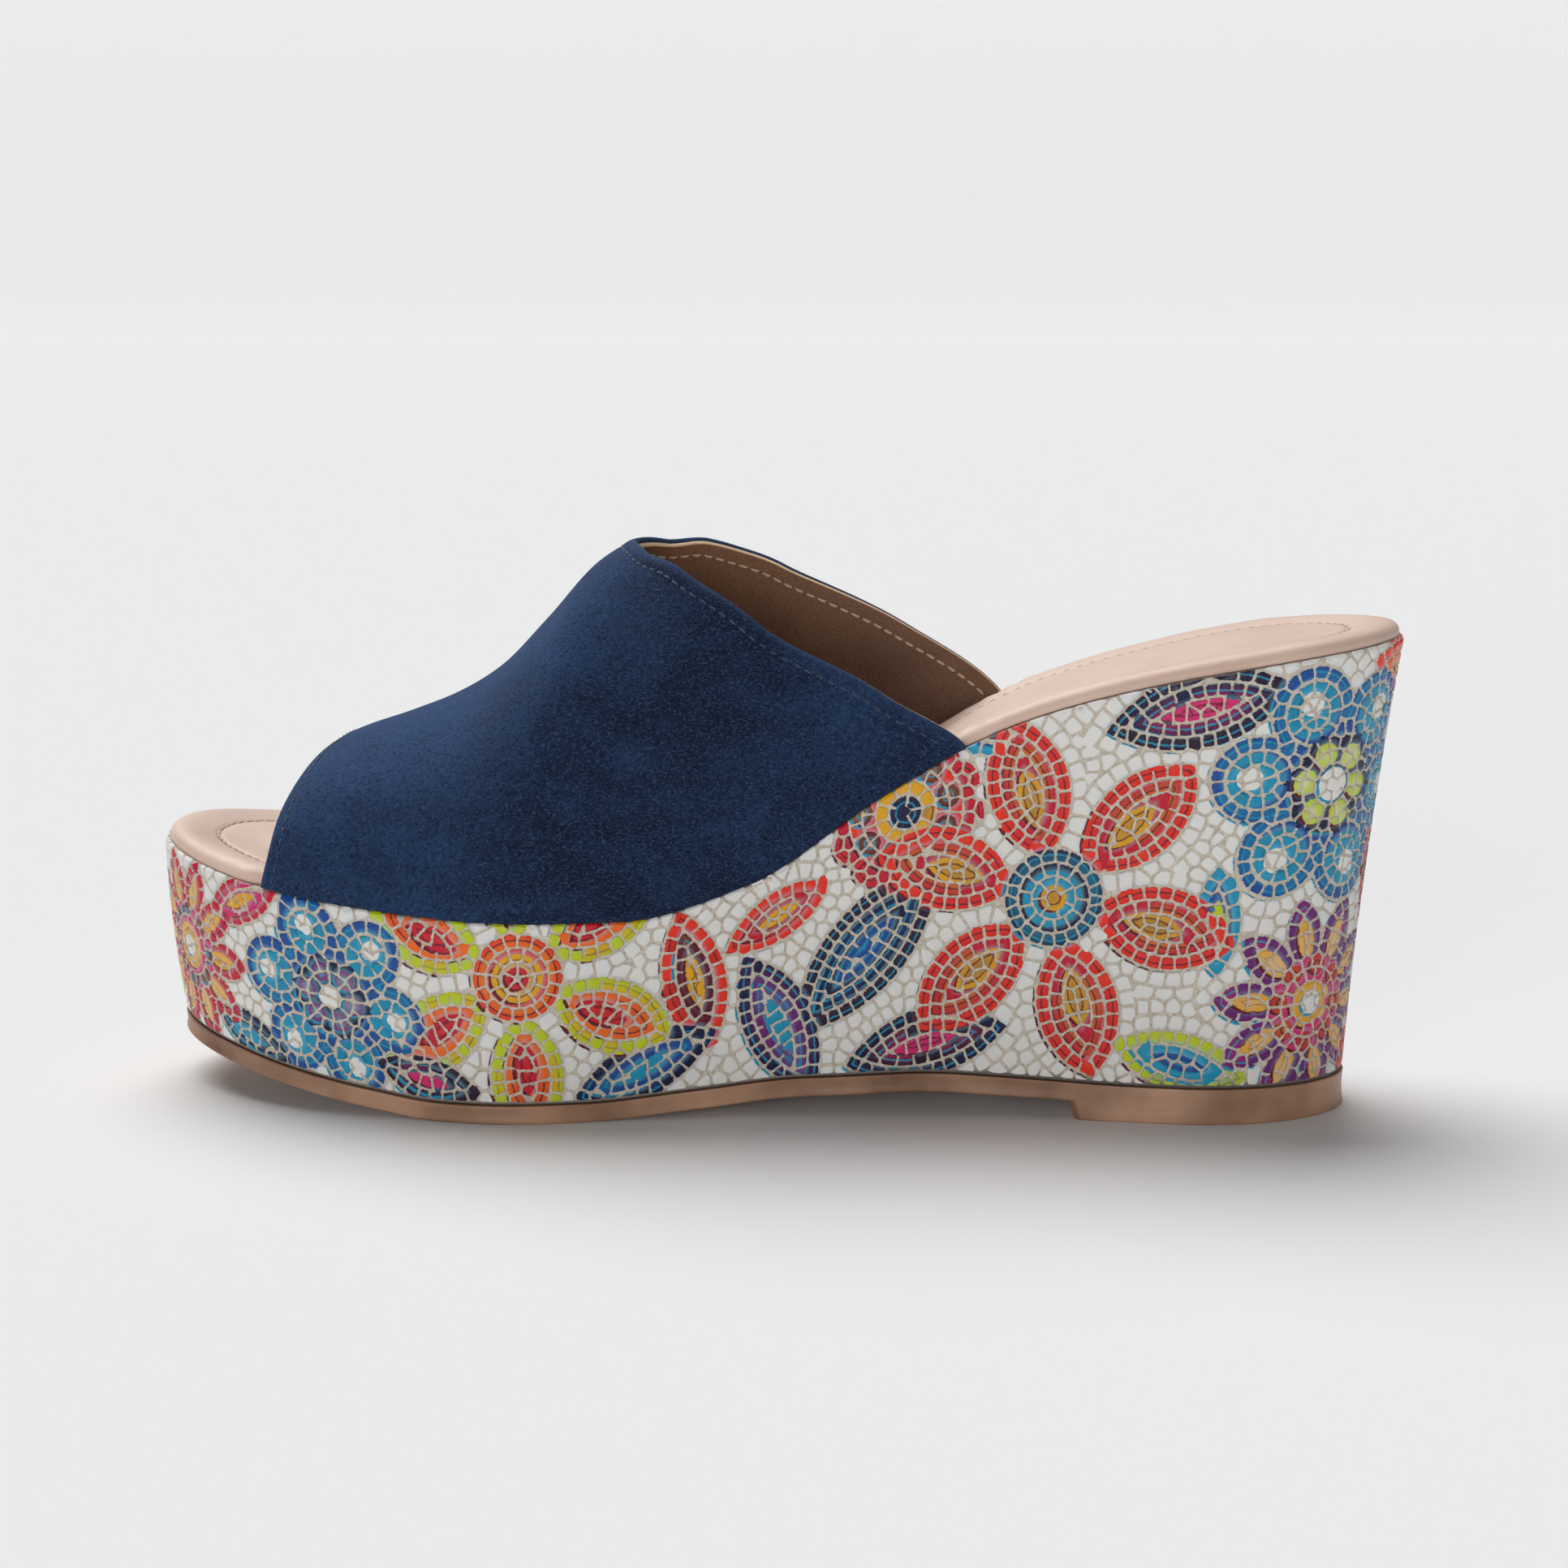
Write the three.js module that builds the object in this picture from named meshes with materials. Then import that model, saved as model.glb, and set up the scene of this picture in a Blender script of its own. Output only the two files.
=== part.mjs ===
// Wedge mule: a slide sandal with a peep toe on a wrapped platform wedge, left shoe, EU 38.
// Millimetres. The heel points to +X, the toe to -X, the inner side of the foot to +Y, the floor is Z = 0.
// "u" runs along the shoe as a share of its length, 0 at the back of the heel and 1 at the tip of the toe.
// "across" runs over the upper, -1 at the outer feather line, 0 at the ridge, 1 at the inner feather line.
import * as THREE from "three";

// Lengths along and across
const shoeLength = 246;
const ballWidth = 84.4;
const heelRounding = 32; // length of the round back of the heel
const toeRounding = 49; // length of the round front of the toe
const toeSquareness = 2.2; // 2 is an ellipse, more is squarer

// Heights above the floor
const platformHeight = 39; // top rim of the wedge under the ball
const heelHeight = 92.2; // top rim of the wedge at the back
const toeSpring = 9.8; // what the top rim rises at the tip
const toeLift = 10.4; // what the outsole rises at the tip
const archRise = 4.65; // sets how far the outsole rises under the waist

// Sole
const outsoleThickness = 3.6;
const heelPieceThickness = 3.2; // tread piece under the heel, from the floor to the sheet
const heelPieceLength = 51.5;
const heelPieceSlope = 1.2; // length of its slanted front face
const outsoleMargin = 0.5; // what the outsole stands out beyond the wrap
const outsoleBevel = 0.8;
const heelUndercut = 10; // what the wedge pulls in from rim to outsole at the heel
const toeUndercut = 3.6;
const wallSwell = 1;

// Upper
const wall = 2.2;
const instepRise = 71; // ridge of the upper above the rim where the collar crosses it
const ridgeShift = 5; // the ridge lies this far to the inner side
const sideFullness = 2;
const gap = 0.3; // clearance between neighbouring pieces

// Padded insole
const insoleSetback = 0.8; // from the rim of the wedge, where no upper stands between
const insoleEase = 4; // length over which the insole comes out from behind the upper
const padInset = 4.5; // from the edge to the crown of the padded border
const padHeight = 3.2;
const padSideHeight = 1.5;
const seamInset = 9.5; // from the edge to the stitched groove
const seamDepth = 1.7;
const seamWidth = 0.8;
const sockInset = 18;
const sockHeight = 2.5;

const half = ballWidth / 2;
const heelGain = heelHeight - platformHeight;

// Outline of the last in plan: half width and sideways shift are shares of the half ball width.
// foot is the width of the outsole as a share of the width at the rim.
// bow is how far the wedge's wall swells out, or with a minus draws in, halfway up: a share of wallSwell.
const planTable = [
  { u: 0.0, width: 0.7, shift: -0.045, foot: 0.82, bow: -1.0 },
  { u: 0.12, width: 0.755, shift: -0.01, foot: 0.8, bow: -0.7 },
  { u: 0.27, width: 0.685, shift: -0.012, foot: 0.8, bow: -0.4 },
  { u: 0.42, width: 0.65, shift: -0.065, foot: 0.86, bow: 0.0 },
  { u: 0.57, width: 0.82, shift: -0.055, foot: 0.93, bow: 0.0 },
  { u: 0.7, width: 1.0, shift: -0.035, foot: 0.955, bow: 0.2 },
  { u: 0.84, width: 0.975, shift: 0.065, foot: 0.94, bow: 0.5 },
  { u: 1.0, width: 0.845, shift: 0.085, foot: 0.92, bow: 0.7 },
];

// Rim of the wedge: climb is a share of the heel's height over the platform.
const rimTable = [
  { u: 0.0, climb: 1.0 },
  { u: 0.1, climb: 0.938 },
  { u: 0.2, climb: 0.845 },
  { u: 0.3, climb: 0.7 },
  { u: 0.4, climb: 0.438 },
  { u: 0.5, climb: 0.125 },
  { u: 0.6, climb: 0.0 },
  { u: 1.0, climb: 0.0 },
];

// Underside of the sheet over the floor: heel is a share of heelPieceThickness, arch of archRise
// and spring of toeLift. It touches the floor between the two rows without any.
const ballFlat = { from: 0.625, to: 0.735 };
const undersideTable = [
  { u: 0.0, heel: 1.0, arch: 0.0, spring: 0.0 },
  { u: 0.2, heel: 1.0, arch: 0.03, spring: 0.0 },
  { u: 0.3, heel: 0.75, arch: 0.36, spring: 0.0 },
  { u: 0.385, heel: 0.4, arch: 0.72, spring: 0.0 },
  { u: 0.46, heel: 0.1, arch: 0.71, spring: 0.0 },
  { u: 0.54, heel: 0.0, arch: 0.39, spring: 0.0 },
  { u: ballFlat.from, heel: 0.0, arch: 0.0, spring: 0.0 },
  { u: ballFlat.to, heel: 0.0, arch: 0.0, spring: 0.0 },
  { u: 0.8, heel: 0.0, arch: 0.0, spring: 0.15 },
  { u: 0.86, heel: 0.0, arch: 0.0, spring: 0.39 },
  { u: 0.92, heel: 0.0, arch: 0.0, spring: 0.66 },
  { u: 1.0, heel: 0.0, arch: 0.0, spring: 1.0 },
];

// Ridge of the upper: rise over the rim as a share of instepRise; fullness shapes the section,
// 2 is an ellipse and more is boxier. Behind the collar the rows only guide the sides.
const ridgeTable = [
  { u: 0.32, rise: 1.12, fullness: 2.3 },
  { u: 0.5, rise: 1.13, fullness: 2.2 },
  { u: 0.56, rise: 1.09, fullness: 2.1 },
  { u: 0.6, rise: 1.0, fullness: 2.05 },
  { u: 0.64, rise: 0.916, fullness: 2.06 },
  { u: 0.68, rise: 0.763, fullness: 2.08 },
  { u: 0.72, rise: 0.617, fullness: 2.12 },
  { u: 0.76, rise: 0.523, fullness: 2.16 },
  { u: 0.8, rise: 0.455, fullness: 2.2 },
  { u: 0.85, rise: 0.372, fullness: 2.25 },
  { u: 0.9, rise: 0.23, fullness: 2.25 },
];

// Edges of the upper: where the collar and the toe opening lie along the shoe, for each place across.
const edgeTable = [
  { across: -1.0, collar: 0.335, front: 0.885 },
  { across: -0.9, collar: 0.386, front: 0.881 },
  { across: -0.8, collar: 0.427, front: 0.878 },
  { across: -0.6, collar: 0.499, front: 0.875 },
  { across: -0.4, collar: 0.558, front: 0.87 },
  { across: -0.2, collar: 0.597, front: 0.865 },
  { across: 0.0, collar: 0.613, front: 0.86 },
  { across: 0.2, collar: 0.595, front: 0.861 },
  { across: 0.4, collar: 0.544, front: 0.864 },
  { across: 0.6, collar: 0.474, front: 0.868 },
  { across: 0.8, collar: 0.403, front: 0.871 },
  { across: 1.0, collar: 0.318, front: 0.874 },
];

// Smooth curve through a table's column that never overshoots its rows (monotone cubic).
function curve(table, key, column) {
  const xs = table.map((row) => row[key]);
  const ys = table.map((row) => row[column]);
  const last = xs.length - 1;
  const step = (i) => xs[i + 1] - xs[i];
  const slope = (i) => (ys[i + 1] - ys[i]) / step(i);
  const tangents = xs.map((_, i) => {
    if (i === 0) return slope(0);
    if (i === last) return slope(last - 1);
    const before = slope(i - 1);
    const after = slope(i);
    if (before * after <= 0) return 0;
    const a = 2 * step(i) + step(i - 1);
    const b = step(i) + 2 * step(i - 1);
    return (a + b) / (a / before + b / after);
  });
  return (x) => {
    const at = Math.min(Math.max(x, xs[0]), xs[last]);
    let i = 0;
    while (i < last - 1 && at > xs[i + 1]) i += 1;
    const h = step(i);
    const t = (at - xs[i]) / h;
    const fromStart = (1 + 2 * t) * (1 - t) ** 2 * ys[i] + t * (1 - t) ** 2 * h * tangents[i];
    const fromEnd = t * t * (3 - 2 * t) * ys[i + 1] + t * t * (t - 1) * h * tangents[i + 1];
    return fromStart + fromEnd;
  };
}

const clamp01 = (x) => Math.min(Math.max(x, 0), 1);
const ease = (x) => clamp01(x) ** 2 * (3 - 2 * clamp01(x));
const xOf = (u) => shoeLength * (0.5 - u);
const uOf = (x) => 0.5 - x / shoeLength;

const planWidth = curve(planTable, "u", "width");
const planShift = curve(planTable, "u", "shift");
const footShare = curve(planTable, "u", "foot");
const wallBow = curve(planTable, "u", "bow");
const rimClimb = curve(rimTable, "u", "climb");
const heelShare = curve(undersideTable, "u", "heel");
const archShare = curve(undersideTable, "u", "arch");
const springShare = curve(undersideTable, "u", "spring");
const ridgeShare = curve(ridgeTable, "u", "rise");
const fullnessAt = curve(ridgeTable, "u", "fullness");
const collarAt = curve(edgeTable, "across", "collar");
const frontAt = curve(edgeTable, "across", "front");

// Half width of the last at the rim: the plan's width with a round heel and a squarer round toe.
function halfWidth(u) {
  const intoHeel = clamp01(1 - (u * shoeLength) / heelRounding);
  const intoToe = clamp01(1 - ((1 - u) * shoeLength) / toeRounding);
  const heelCap = Math.sqrt(1 - intoHeel ** 2);
  const toeCap = (1 - intoToe ** toeSquareness) ** (1 / toeSquareness);
  return half * planWidth(u) * heelCap * toeCap;
}

const middle = (u) => half * planShift(u);
const springStart = 0.66; // where the toe begins to rise
const rimHeight = (u) =>
  platformHeight + heelGain * rimClimb(u) + toeSpring * clamp01((u - springStart) / (1 - springStart)) ** 2;
const undersideHeight = (u) =>
  heelPieceThickness * heelShare(u) + archRise * archShare(u) + toeLift * springShare(u);

// Places along the shoe, closer together at both ends, with extra ones where an outline steps.
function stations(count, extra = []) {
  const crowding = 0.8;
  const spaced = Array.from({ length: count + 1 }, (_, i) => {
    const t = i / count;
    return t - (crowding * Math.sin(2 * Math.PI * t)) / (2 * Math.PI);
  });
  const closest = 0.12 / count;
  const kept = spaced.filter((u) => extra.every((e) => Math.abs(u - e) > closest * 3));
  return [...kept, ...extra].sort((a, b) => a - b);
}

// Outline at the rim, drawn in by an inset along the outline's own normal.
function rimPoint(u, side, inset) {
  const reach = 1e-4;
  const at = (q) => new THREE.Vector2(xOf(q), middle(q) + side * halfWidth(q));
  const low = Math.max(u - reach, 0);
  const high = Math.min(u + reach, 1);
  const along = at(high).sub(at(low));
  if (u === 0 || u === 1) along.set(0, u === 0 ? side : -side);
  along.normalize();
  const inward = new THREE.Vector2(-side * along.y, side * along.x);
  return at(u).addScaledVector(inward, inset);
}

// Ends of the outline at the outsole, which is shorter than the rim by the two undercuts.
const footEnds = (margin) => ({
  back: xOf(0) - heelUndercut + margin,
  front: xOf(1) + toeUndercut - margin,
});

// Outline at the outsole: the rim's plan between those ends, narrower by the foot share.
function footPoint(u, side, margin) {
  const { back, front } = footEnds(margin);
  const reach = halfWidth(u) * footShare(u) * (1 + margin / half);
  return new THREE.Vector2(back + (front - back) * u, middle(u) + side * reach);
}

// Closed solid from rings. Each ring holds an outer and an inner line of points along the shoe;
// the first ring is closed below and the last above by strips straight across.
function ladderSolid(rings) {
  const count = rings[0].outer.length;
  const loop = (ring) => [...ring.outer, ...ring.inner.slice(1, count - 1).reverse()];
  const size = 2 * count - 2;
  const positions = rings.flatMap((ring) => loop(ring).flatMap((p) => [p.x, p.y, p.z]));
  const index = [];
  for (let level = 0; level < rings.length - 1; level += 1) {
    for (let i = 0; i < size; i += 1) {
      const a = level * size + i;
      const b = level * size + ((i + 1) % size);
      index.push(a, b + size, b, a, a + size, b + size);
    }
  }
  const across = (i) => (i === 0 || i === count - 1 ? i : size - i);
  const cap = (first, up) => {
    for (let i = 0; i < count - 1; i += 1) {
      const quad = [first + i, first + i + 1, first + across(i + 1), first + across(i)];
      const faces = [
        [quad[0], quad[1], quad[2]],
        [quad[0], quad[2], quad[3]],
      ];
      faces
        .filter((f) => new Set(f).size === 3)
        .forEach((f) => index.push(...(up ? [f[0], f[2], f[1]] : f)));
    }
  };
  cap(0, false);
  cap((rings.length - 1) * size, true);
  return indexed(positions, index);
}

function indexed(positions, index) {
  const geometry = new THREE.BufferGeometry();
  geometry.setAttribute("position", new THREE.Float32BufferAttribute(positions, 3));
  geometry.setIndex(index);
  geometry.computeVertexNormals();
  return geometry;
}

// A ring from a function of (u, side) that gives a point.
function ring(places, pointAt) {
  const ends = (u, side) => (u === 0 || u === 1 ? -1 : side);
  return {
    outer: places.map((u) => pointAt(u, ends(u, -1))),
    inner: places.map((u) => pointAt(u, ends(u, 1))),
  };
}

const soleStations = 60;
const sheetBottom = (x) => undersideHeight(uOf(x));
const sheetTop = (x) => sheetBottom(x) + outsoleThickness;

// Rubber outsole: a bent sheet with a raised tread piece under the heel. Its underside is flat on
// the floor under the ball and under the heel piece.
function outsoleGeometry() {
  const { back, front } = footEnds(outsoleMargin);
  const placeAt = (x) => (back - x) / (back - front);
  const heelPieceEnd = placeAt(back - heelPieceLength);
  const heelPieceFlatEnd = placeAt(back - heelPieceLength + heelPieceSlope);
  const ballFlatEnds = [xOf(ballFlat.from), xOf(ballFlat.to)].map(placeAt);
  const places = stations(soleStations, [heelPieceFlatEnd, heelPieceEnd, ...ballFlatEnds]);
  const bottom = (u, x) => (u <= heelPieceFlatEnd ? 0 : sheetBottom(x));
  const line = (margin, height) =>
    ring(places, (u, side) => {
      const p = footPoint(u, side, margin);
      return new THREE.Vector3(p.x, p.y, height(u, p.x));
    });
  return ladderSolid([
    line(outsoleMargin - outsoleBevel, bottom),
    line(outsoleMargin, (u, x) => bottom(u, x) + outsoleBevel),
    line(outsoleMargin, (u, x) => sheetTop(x)),
  ]);
}

// Wrapped platform wedge: its wall leans in from the rim down to the outsole.
function wedgeGeometry() {
  const places = stations(soleStations);
  const levels = [0, 0.25, 0.5, 0.75, 1];
  const rings = levels.map((t) =>
    ring(places, (u, side) => {
      const foot = footPoint(u, side, 0);
      const rim = rimPoint(u, side, 0);
      const low = sheetTop(foot.x) + gap;
      const bow = 4 * t * (1 - t) * wallBow(u) * wallSwell;
      const swell = rimPoint(u, side, -bow).sub(rim);
      const plan = foot.lerp(rim, t).add(swell);
      return new THREE.Vector3(plan.x, plan.y, low + (rimHeight(u) - low) * t);
    }),
  );
  return ladderSolid(rings);
}

// Padded insole: a puffed border, a stitched groove and a slightly raised middle. Behind the upper
// it keeps clear of the wall, elsewhere it reaches nearly to the rim.
function insoleGeometry() {
  const reach = insoleEase / shoeLength;
  const clear = gap / shoeLength;
  const wallEnds = (side) => [collarAt(side) - clear, frontAt(side) + clear];
  const behindWall = (u, side) => {
    const [collar, front] = wallEnds(side);
    return 1 - ease(Math.max(collar - u, u - front) / reach);
  };
  const edge = (u, side) => insoleSetback + (wall + gap - insoleSetback) * behindWall(u, side);
  const steps = [-1, 1].flatMap((side) => {
    const [collar, front] = wallEnds(side);
    return [collar, collar - reach / 2, collar - reach, front, front + reach / 2, front + reach];
  });
  const places = stations(soleStations, steps);
  const groove = padHeight - seamDepth;
  const profile = [
    { inset: 0, height: gap },
    { inset: 0, height: gap + padSideHeight / 2 },
    { inset: padInset * 0.16, height: gap + padSideHeight },
    { inset: padInset * 0.5, height: padHeight * 0.87 },
    { inset: padInset, height: padHeight },
    { inset: (padInset + seamInset) / 2, height: padHeight - seamDepth * 0.27 },
    { inset: seamInset - seamWidth, height: groove + seamDepth * 0.12 },
    { inset: seamInset, height: groove },
    { inset: seamInset + seamWidth, height: groove + (sockHeight - groove) * 0.3 },
    { inset: (seamInset + sockInset) / 2, height: groove + (sockHeight - groove) * 0.85 },
    { inset: sockInset, height: sockHeight },
  ];
  return ladderSolid(
    profile.map(({ inset, height }) =>
      ring(places, (u, side) => {
        const p = rimPoint(u, side, edge(u, side) + inset);
        return new THREE.Vector3(p.x, p.y, rimHeight(uOf(p.x)) + height);
      }),
    ),
  );
}

// Outer face of the upper: a superellipse over the foot from rim to rim, peaked at the ridge.
function upperPoint(u, across) {
  const side = Math.sign(across) || 1;
  const turn = (Math.min(Math.abs(across), 1) * Math.PI) / 2;
  const power = 2 / fullnessAt(u);
  const spread = Math.sin(turn) ** power;
  const rise = Math.max(Math.cos(turn), 0) ** power;
  const rim = middle(u) + side * halfWidth(u);
  const full = side * sideFullness * Math.max(Math.sin(2 * turn), 0) * across ** 2;
  return new THREE.Vector3(
    xOf(u),
    ridgeShift + (rim - ridgeShift) * spread + full,
    rimHeight(u) + gap + instepRise * ridgeShare(u) * rise,
  );
}

// Upper: one wall of even thickness, open at the toe, at the collar and underneath.
function upperGeometry() {
  const along = 20;
  const around = 56;
  const outside = [];
  const inside = [];
  const step = 1e-3;
  for (let j = 0; j <= around; j += 1) {
    const across = (2 * j) / around - 1;
    for (let i = 0; i <= along; i += 1) {
      const u = frontAt(across) + (collarAt(across) - frontAt(across)) * (i / along);
      const here = upperPoint(u, across);
      const lengthways = upperPoint(u - step, across).sub(upperPoint(u + step, across));
      const low = Math.max(across - step, -1);
      const high = Math.min(across + step, 1);
      const crossways = upperPoint(u, high).sub(upperPoint(u, low));
      const normal = lengthways.cross(crossways).normalize();
      if (j === 0 || j === around) normal.setZ(0).normalize();
      outside.push(here);
      inside.push(here.clone().addScaledVector(normal, -wall));
    }
  }
  const points = [...outside, ...inside];
  const rows = along + 1;
  const at = (i, j, layer) => layer * outside.length + j * rows + i;
  const index = [];
  const quad = (a, b, c, d) => index.push(a, b, c, a, c, d);
  for (let j = 0; j < around; j += 1) {
    for (let i = 0; i < along; i += 1) {
      quad(at(i, j, 0), at(i + 1, j, 0), at(i + 1, j + 1, 0), at(i, j + 1, 0));
      quad(at(i, j, 1), at(i, j + 1, 1), at(i + 1, j + 1, 1), at(i + 1, j, 1));
    }
    quad(at(0, j, 0), at(0, j + 1, 0), at(0, j + 1, 1), at(0, j, 1));
    quad(at(along, j, 0), at(along, j, 1), at(along, j + 1, 1), at(along, j + 1, 0));
  }
  for (let i = 0; i < along; i += 1) {
    quad(at(i, 0, 0), at(i, 0, 1), at(i + 1, 0, 1), at(i + 1, 0, 0));
    quad(at(i, around, 0), at(i + 1, around, 0), at(i + 1, around, 1), at(i, around, 1));
  }
  return indexed(points.flatMap((p) => [p.x, p.y, p.z]), index);
}

function piece(name, geometry, color, roughness) {
  const material = new THREE.MeshStandardMaterial({ color, roughness, metalness: 0 });
  const mesh = new THREE.Mesh(geometry, material);
  mesh.name = name;
  return mesh;
}

const shoe = new THREE.Group();
shoe.add(
  piece("outsole", outsoleGeometry(), 0x966c50, 0.55),
  piece("wedge", wedgeGeometry(), 0xcfc3b2, 0.6),
  piece("insole", insoleGeometry(), 0xcbac99, 0.7),
  piece("upper", upperGeometry(), 0x243a62, 0.95),
);

// The origin is on the floor under the middle of the shoe's box.
const box = new THREE.Box3().setFromObject(shoe);
const centre = box.getCenter(new THREE.Vector3());
shoe.position.set(-centre.x, -centre.y, -box.min.z);

export default shoe;
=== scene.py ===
import bpy
import numpy as np
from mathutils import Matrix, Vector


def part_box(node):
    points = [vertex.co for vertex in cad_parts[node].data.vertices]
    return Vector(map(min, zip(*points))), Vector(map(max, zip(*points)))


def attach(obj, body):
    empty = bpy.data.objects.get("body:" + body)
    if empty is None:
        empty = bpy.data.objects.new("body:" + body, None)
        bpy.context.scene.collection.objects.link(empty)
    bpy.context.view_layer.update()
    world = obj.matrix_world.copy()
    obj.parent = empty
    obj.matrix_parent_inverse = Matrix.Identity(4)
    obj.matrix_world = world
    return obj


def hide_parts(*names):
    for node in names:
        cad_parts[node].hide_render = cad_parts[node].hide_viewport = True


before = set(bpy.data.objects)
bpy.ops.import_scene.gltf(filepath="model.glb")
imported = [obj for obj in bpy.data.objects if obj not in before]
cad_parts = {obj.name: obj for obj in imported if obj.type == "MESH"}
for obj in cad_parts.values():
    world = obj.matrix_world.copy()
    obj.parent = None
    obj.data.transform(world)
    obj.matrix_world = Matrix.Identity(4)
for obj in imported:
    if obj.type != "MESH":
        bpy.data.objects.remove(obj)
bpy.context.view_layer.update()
mm = 0.001

# The shoe's own coordinates: millimetres, heel at +X, toe at -X, inner side of the foot at +Y.
# u is the place along the shoe, 0 at the back of the heel and 1 at the tip of the toe.
# side is -1 on the outer side and +1 on the inner side. across runs over the upper from -1 to +1.

# Shape of the last
wedgeLow, wedgeHigh = [np.array(corner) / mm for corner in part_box("wedge")]
soleSizes = {
    "length": wedgeHigh[0] - wedgeLow[0],
    "heelHeight": wedgeHigh[2],
    "ballWidth": 84.4,
    "heelRounding": 32,
    "toeRounding": 49,
    "toeSquareness": 2.2,
    "platformHeight": 39,
    "toeSpring": 9.8,
    "springStart": 0.66,
    "toeLift": 10.4,
    "archRise": 4.65,
    "heelPieceThickness": 3.2,
    "heelPieceLength": 51.5,
    "heelPieceSlope": 1.2,
    "outsoleThickness": 3.6,
    "outsoleMargin": 0.5,
    "heelUndercut": 10,
    "toeUndercut": 3.6,
    "wallSwell": 1,
    "gap": 0.3,
    "sideShift": 0.045,
}
# Plan outline: width, shift and foot are shares of the half ball width, bow of the wall's swell.
planTable = {
    "u": [0, 0.12, 0.27, 0.42, 0.57, 0.7, 0.84, 1],
    "width": [0.7, 0.755, 0.685, 0.65, 0.82, 1, 0.975, 0.845],
    "shift": [-0.045, -0.01, -0.012, -0.065, -0.055, -0.035, 0.065, 0.085],
    "foot": [0.82, 0.8, 0.8, 0.86, 0.93, 0.955, 0.94, 0.92],
    "bow": [-1, -0.7, -0.4, 0, 0, 0.2, 0.5, 0.7],
}
rimTable = {
    "u": [0, 0.1, 0.2, 0.3, 0.4, 0.5, 0.6, 1],
    "climb": [1, 0.938, 0.845, 0.7, 0.438, 0.125, 0, 0],
}
undersideTable = {
    "u": [0, 0.2, 0.3, 0.385, 0.46, 0.54, 0.625, 0.735, 0.8, 0.86, 0.92, 1],
    "heel": [1, 1, 0.75, 0.4, 0.1, 0, 0, 0, 0, 0, 0, 0],
    "arch": [0, 0.03, 0.36, 0.72, 0.71, 0.39, 0, 0, 0, 0, 0, 0],
    "spring": [0, 0, 0, 0, 0, 0, 0, 0, 0.15, 0.39, 0.66, 1],
}


# Monotone cubic through a table's column: each slope is the harmonic mean of its neighbours' slopes.
def smoothCurve(table, column, key="u"):
    xs, ys = np.array(table[key], float), np.array(table[column], float)
    step = np.diff(xs)
    slope = np.diff(ys) / step
    before, after = slope[:-1], slope[1:]
    first, second = 2 * step[1:] + step[:-1], step[1:] + 2 * step[:-1]
    same = before * after > 0
    safe = np.where(same, before, 1), np.where(same, after, 1)
    inner = np.where(same, (first + second) / (first / safe[0] + second / safe[1]), 0)
    tangent = np.concatenate([slope[:1], inner, slope[-1:]])

    def value(x):
        x = np.clip(x, xs[0], xs[-1])
        i = np.clip(np.searchsorted(xs, x, side="right") - 1, 0, len(step) - 1)
        h = step[i]
        t = (x - xs[i]) / h
        start = (1 + 2 * t) * (1 - t) ** 2 * ys[i] + t * (1 - t) ** 2 * h * tangent[i]
        return start + t * t * (3 - 2 * t) * ys[i + 1] + t * t * (t - 1) * h * tangent[i + 1]

    return value


half = soleSizes["ballWidth"] / 2
planWidth, planShift = smoothCurve(planTable, "width"), smoothCurve(planTable, "shift")
footShare, wallBow = smoothCurve(planTable, "foot"), smoothCurve(planTable, "bow")
rimClimb = smoothCurve(rimTable, "climb")
heelShare, archShare, springShare = [smoothCurve(undersideTable, c) for c in ("heel", "arch", "spring")]


# Place along X of a share u: a straight line from half the length at the heel to minus half at the toe.
def xOf(u):
    return soleSizes["length"] * (0.5 - u)


# Share u of a place along X: the same straight line turned round.
def uOf(x):
    return 0.5 - x / soleSizes["length"]


# Smooth step 3t^2 - 2t^3 between 0 and 1.
def ease(t):
    t = np.clip(t, 0, 1)
    return t * t * (3 - 2 * t)


# Half width at the rim: plan width times a round heel cap and a superelliptic toe cap.
def halfWidth(u):
    s = soleSizes
    intoHeel = np.clip(1 - u * s["length"] / s["heelRounding"], 0, 1)
    intoToe = np.clip(1 - (1 - u) * s["length"] / s["toeRounding"], 0, 1)
    power = s["toeSquareness"]
    return half * planWidth(u) * np.sqrt(1 - intoHeel**2) * (1 - intoToe**power) ** (1 / power)


# Middle line of the plan: its shift as a share of the half ball width, plus the whole shoe's side shift.
def middle(u):
    return half * planShift(u) + soleSizes["sideShift"]


# Rim height: platform plus the climb to the heel plus a parabola at the toe.
def rimHeight(u):
    s = soleSizes
    toe = np.clip((u - s["springStart"]) / (1 - s["springStart"]), 0, 1) ** 2
    climb = s["heelHeight"] - s["platformHeight"]
    return s["platformHeight"] + climb * rimClimb(u) + s["toeSpring"] * toe


# Underside of the outsole's sheet: heel piece, arch and toe lift, each a height times its share there.
def sheetBottom(x):
    u, s = uOf(x), soleSizes
    return (s["heelPieceThickness"] * heelShare(u) + s["archRise"] * archShare(u)
            + s["toeLift"] * springShare(u))


# Top of the outsole's sheet: its underside plus the thickness.
def sheetTop(x):
    return sheetBottom(x) + soleSizes["outsoleThickness"]


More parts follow.
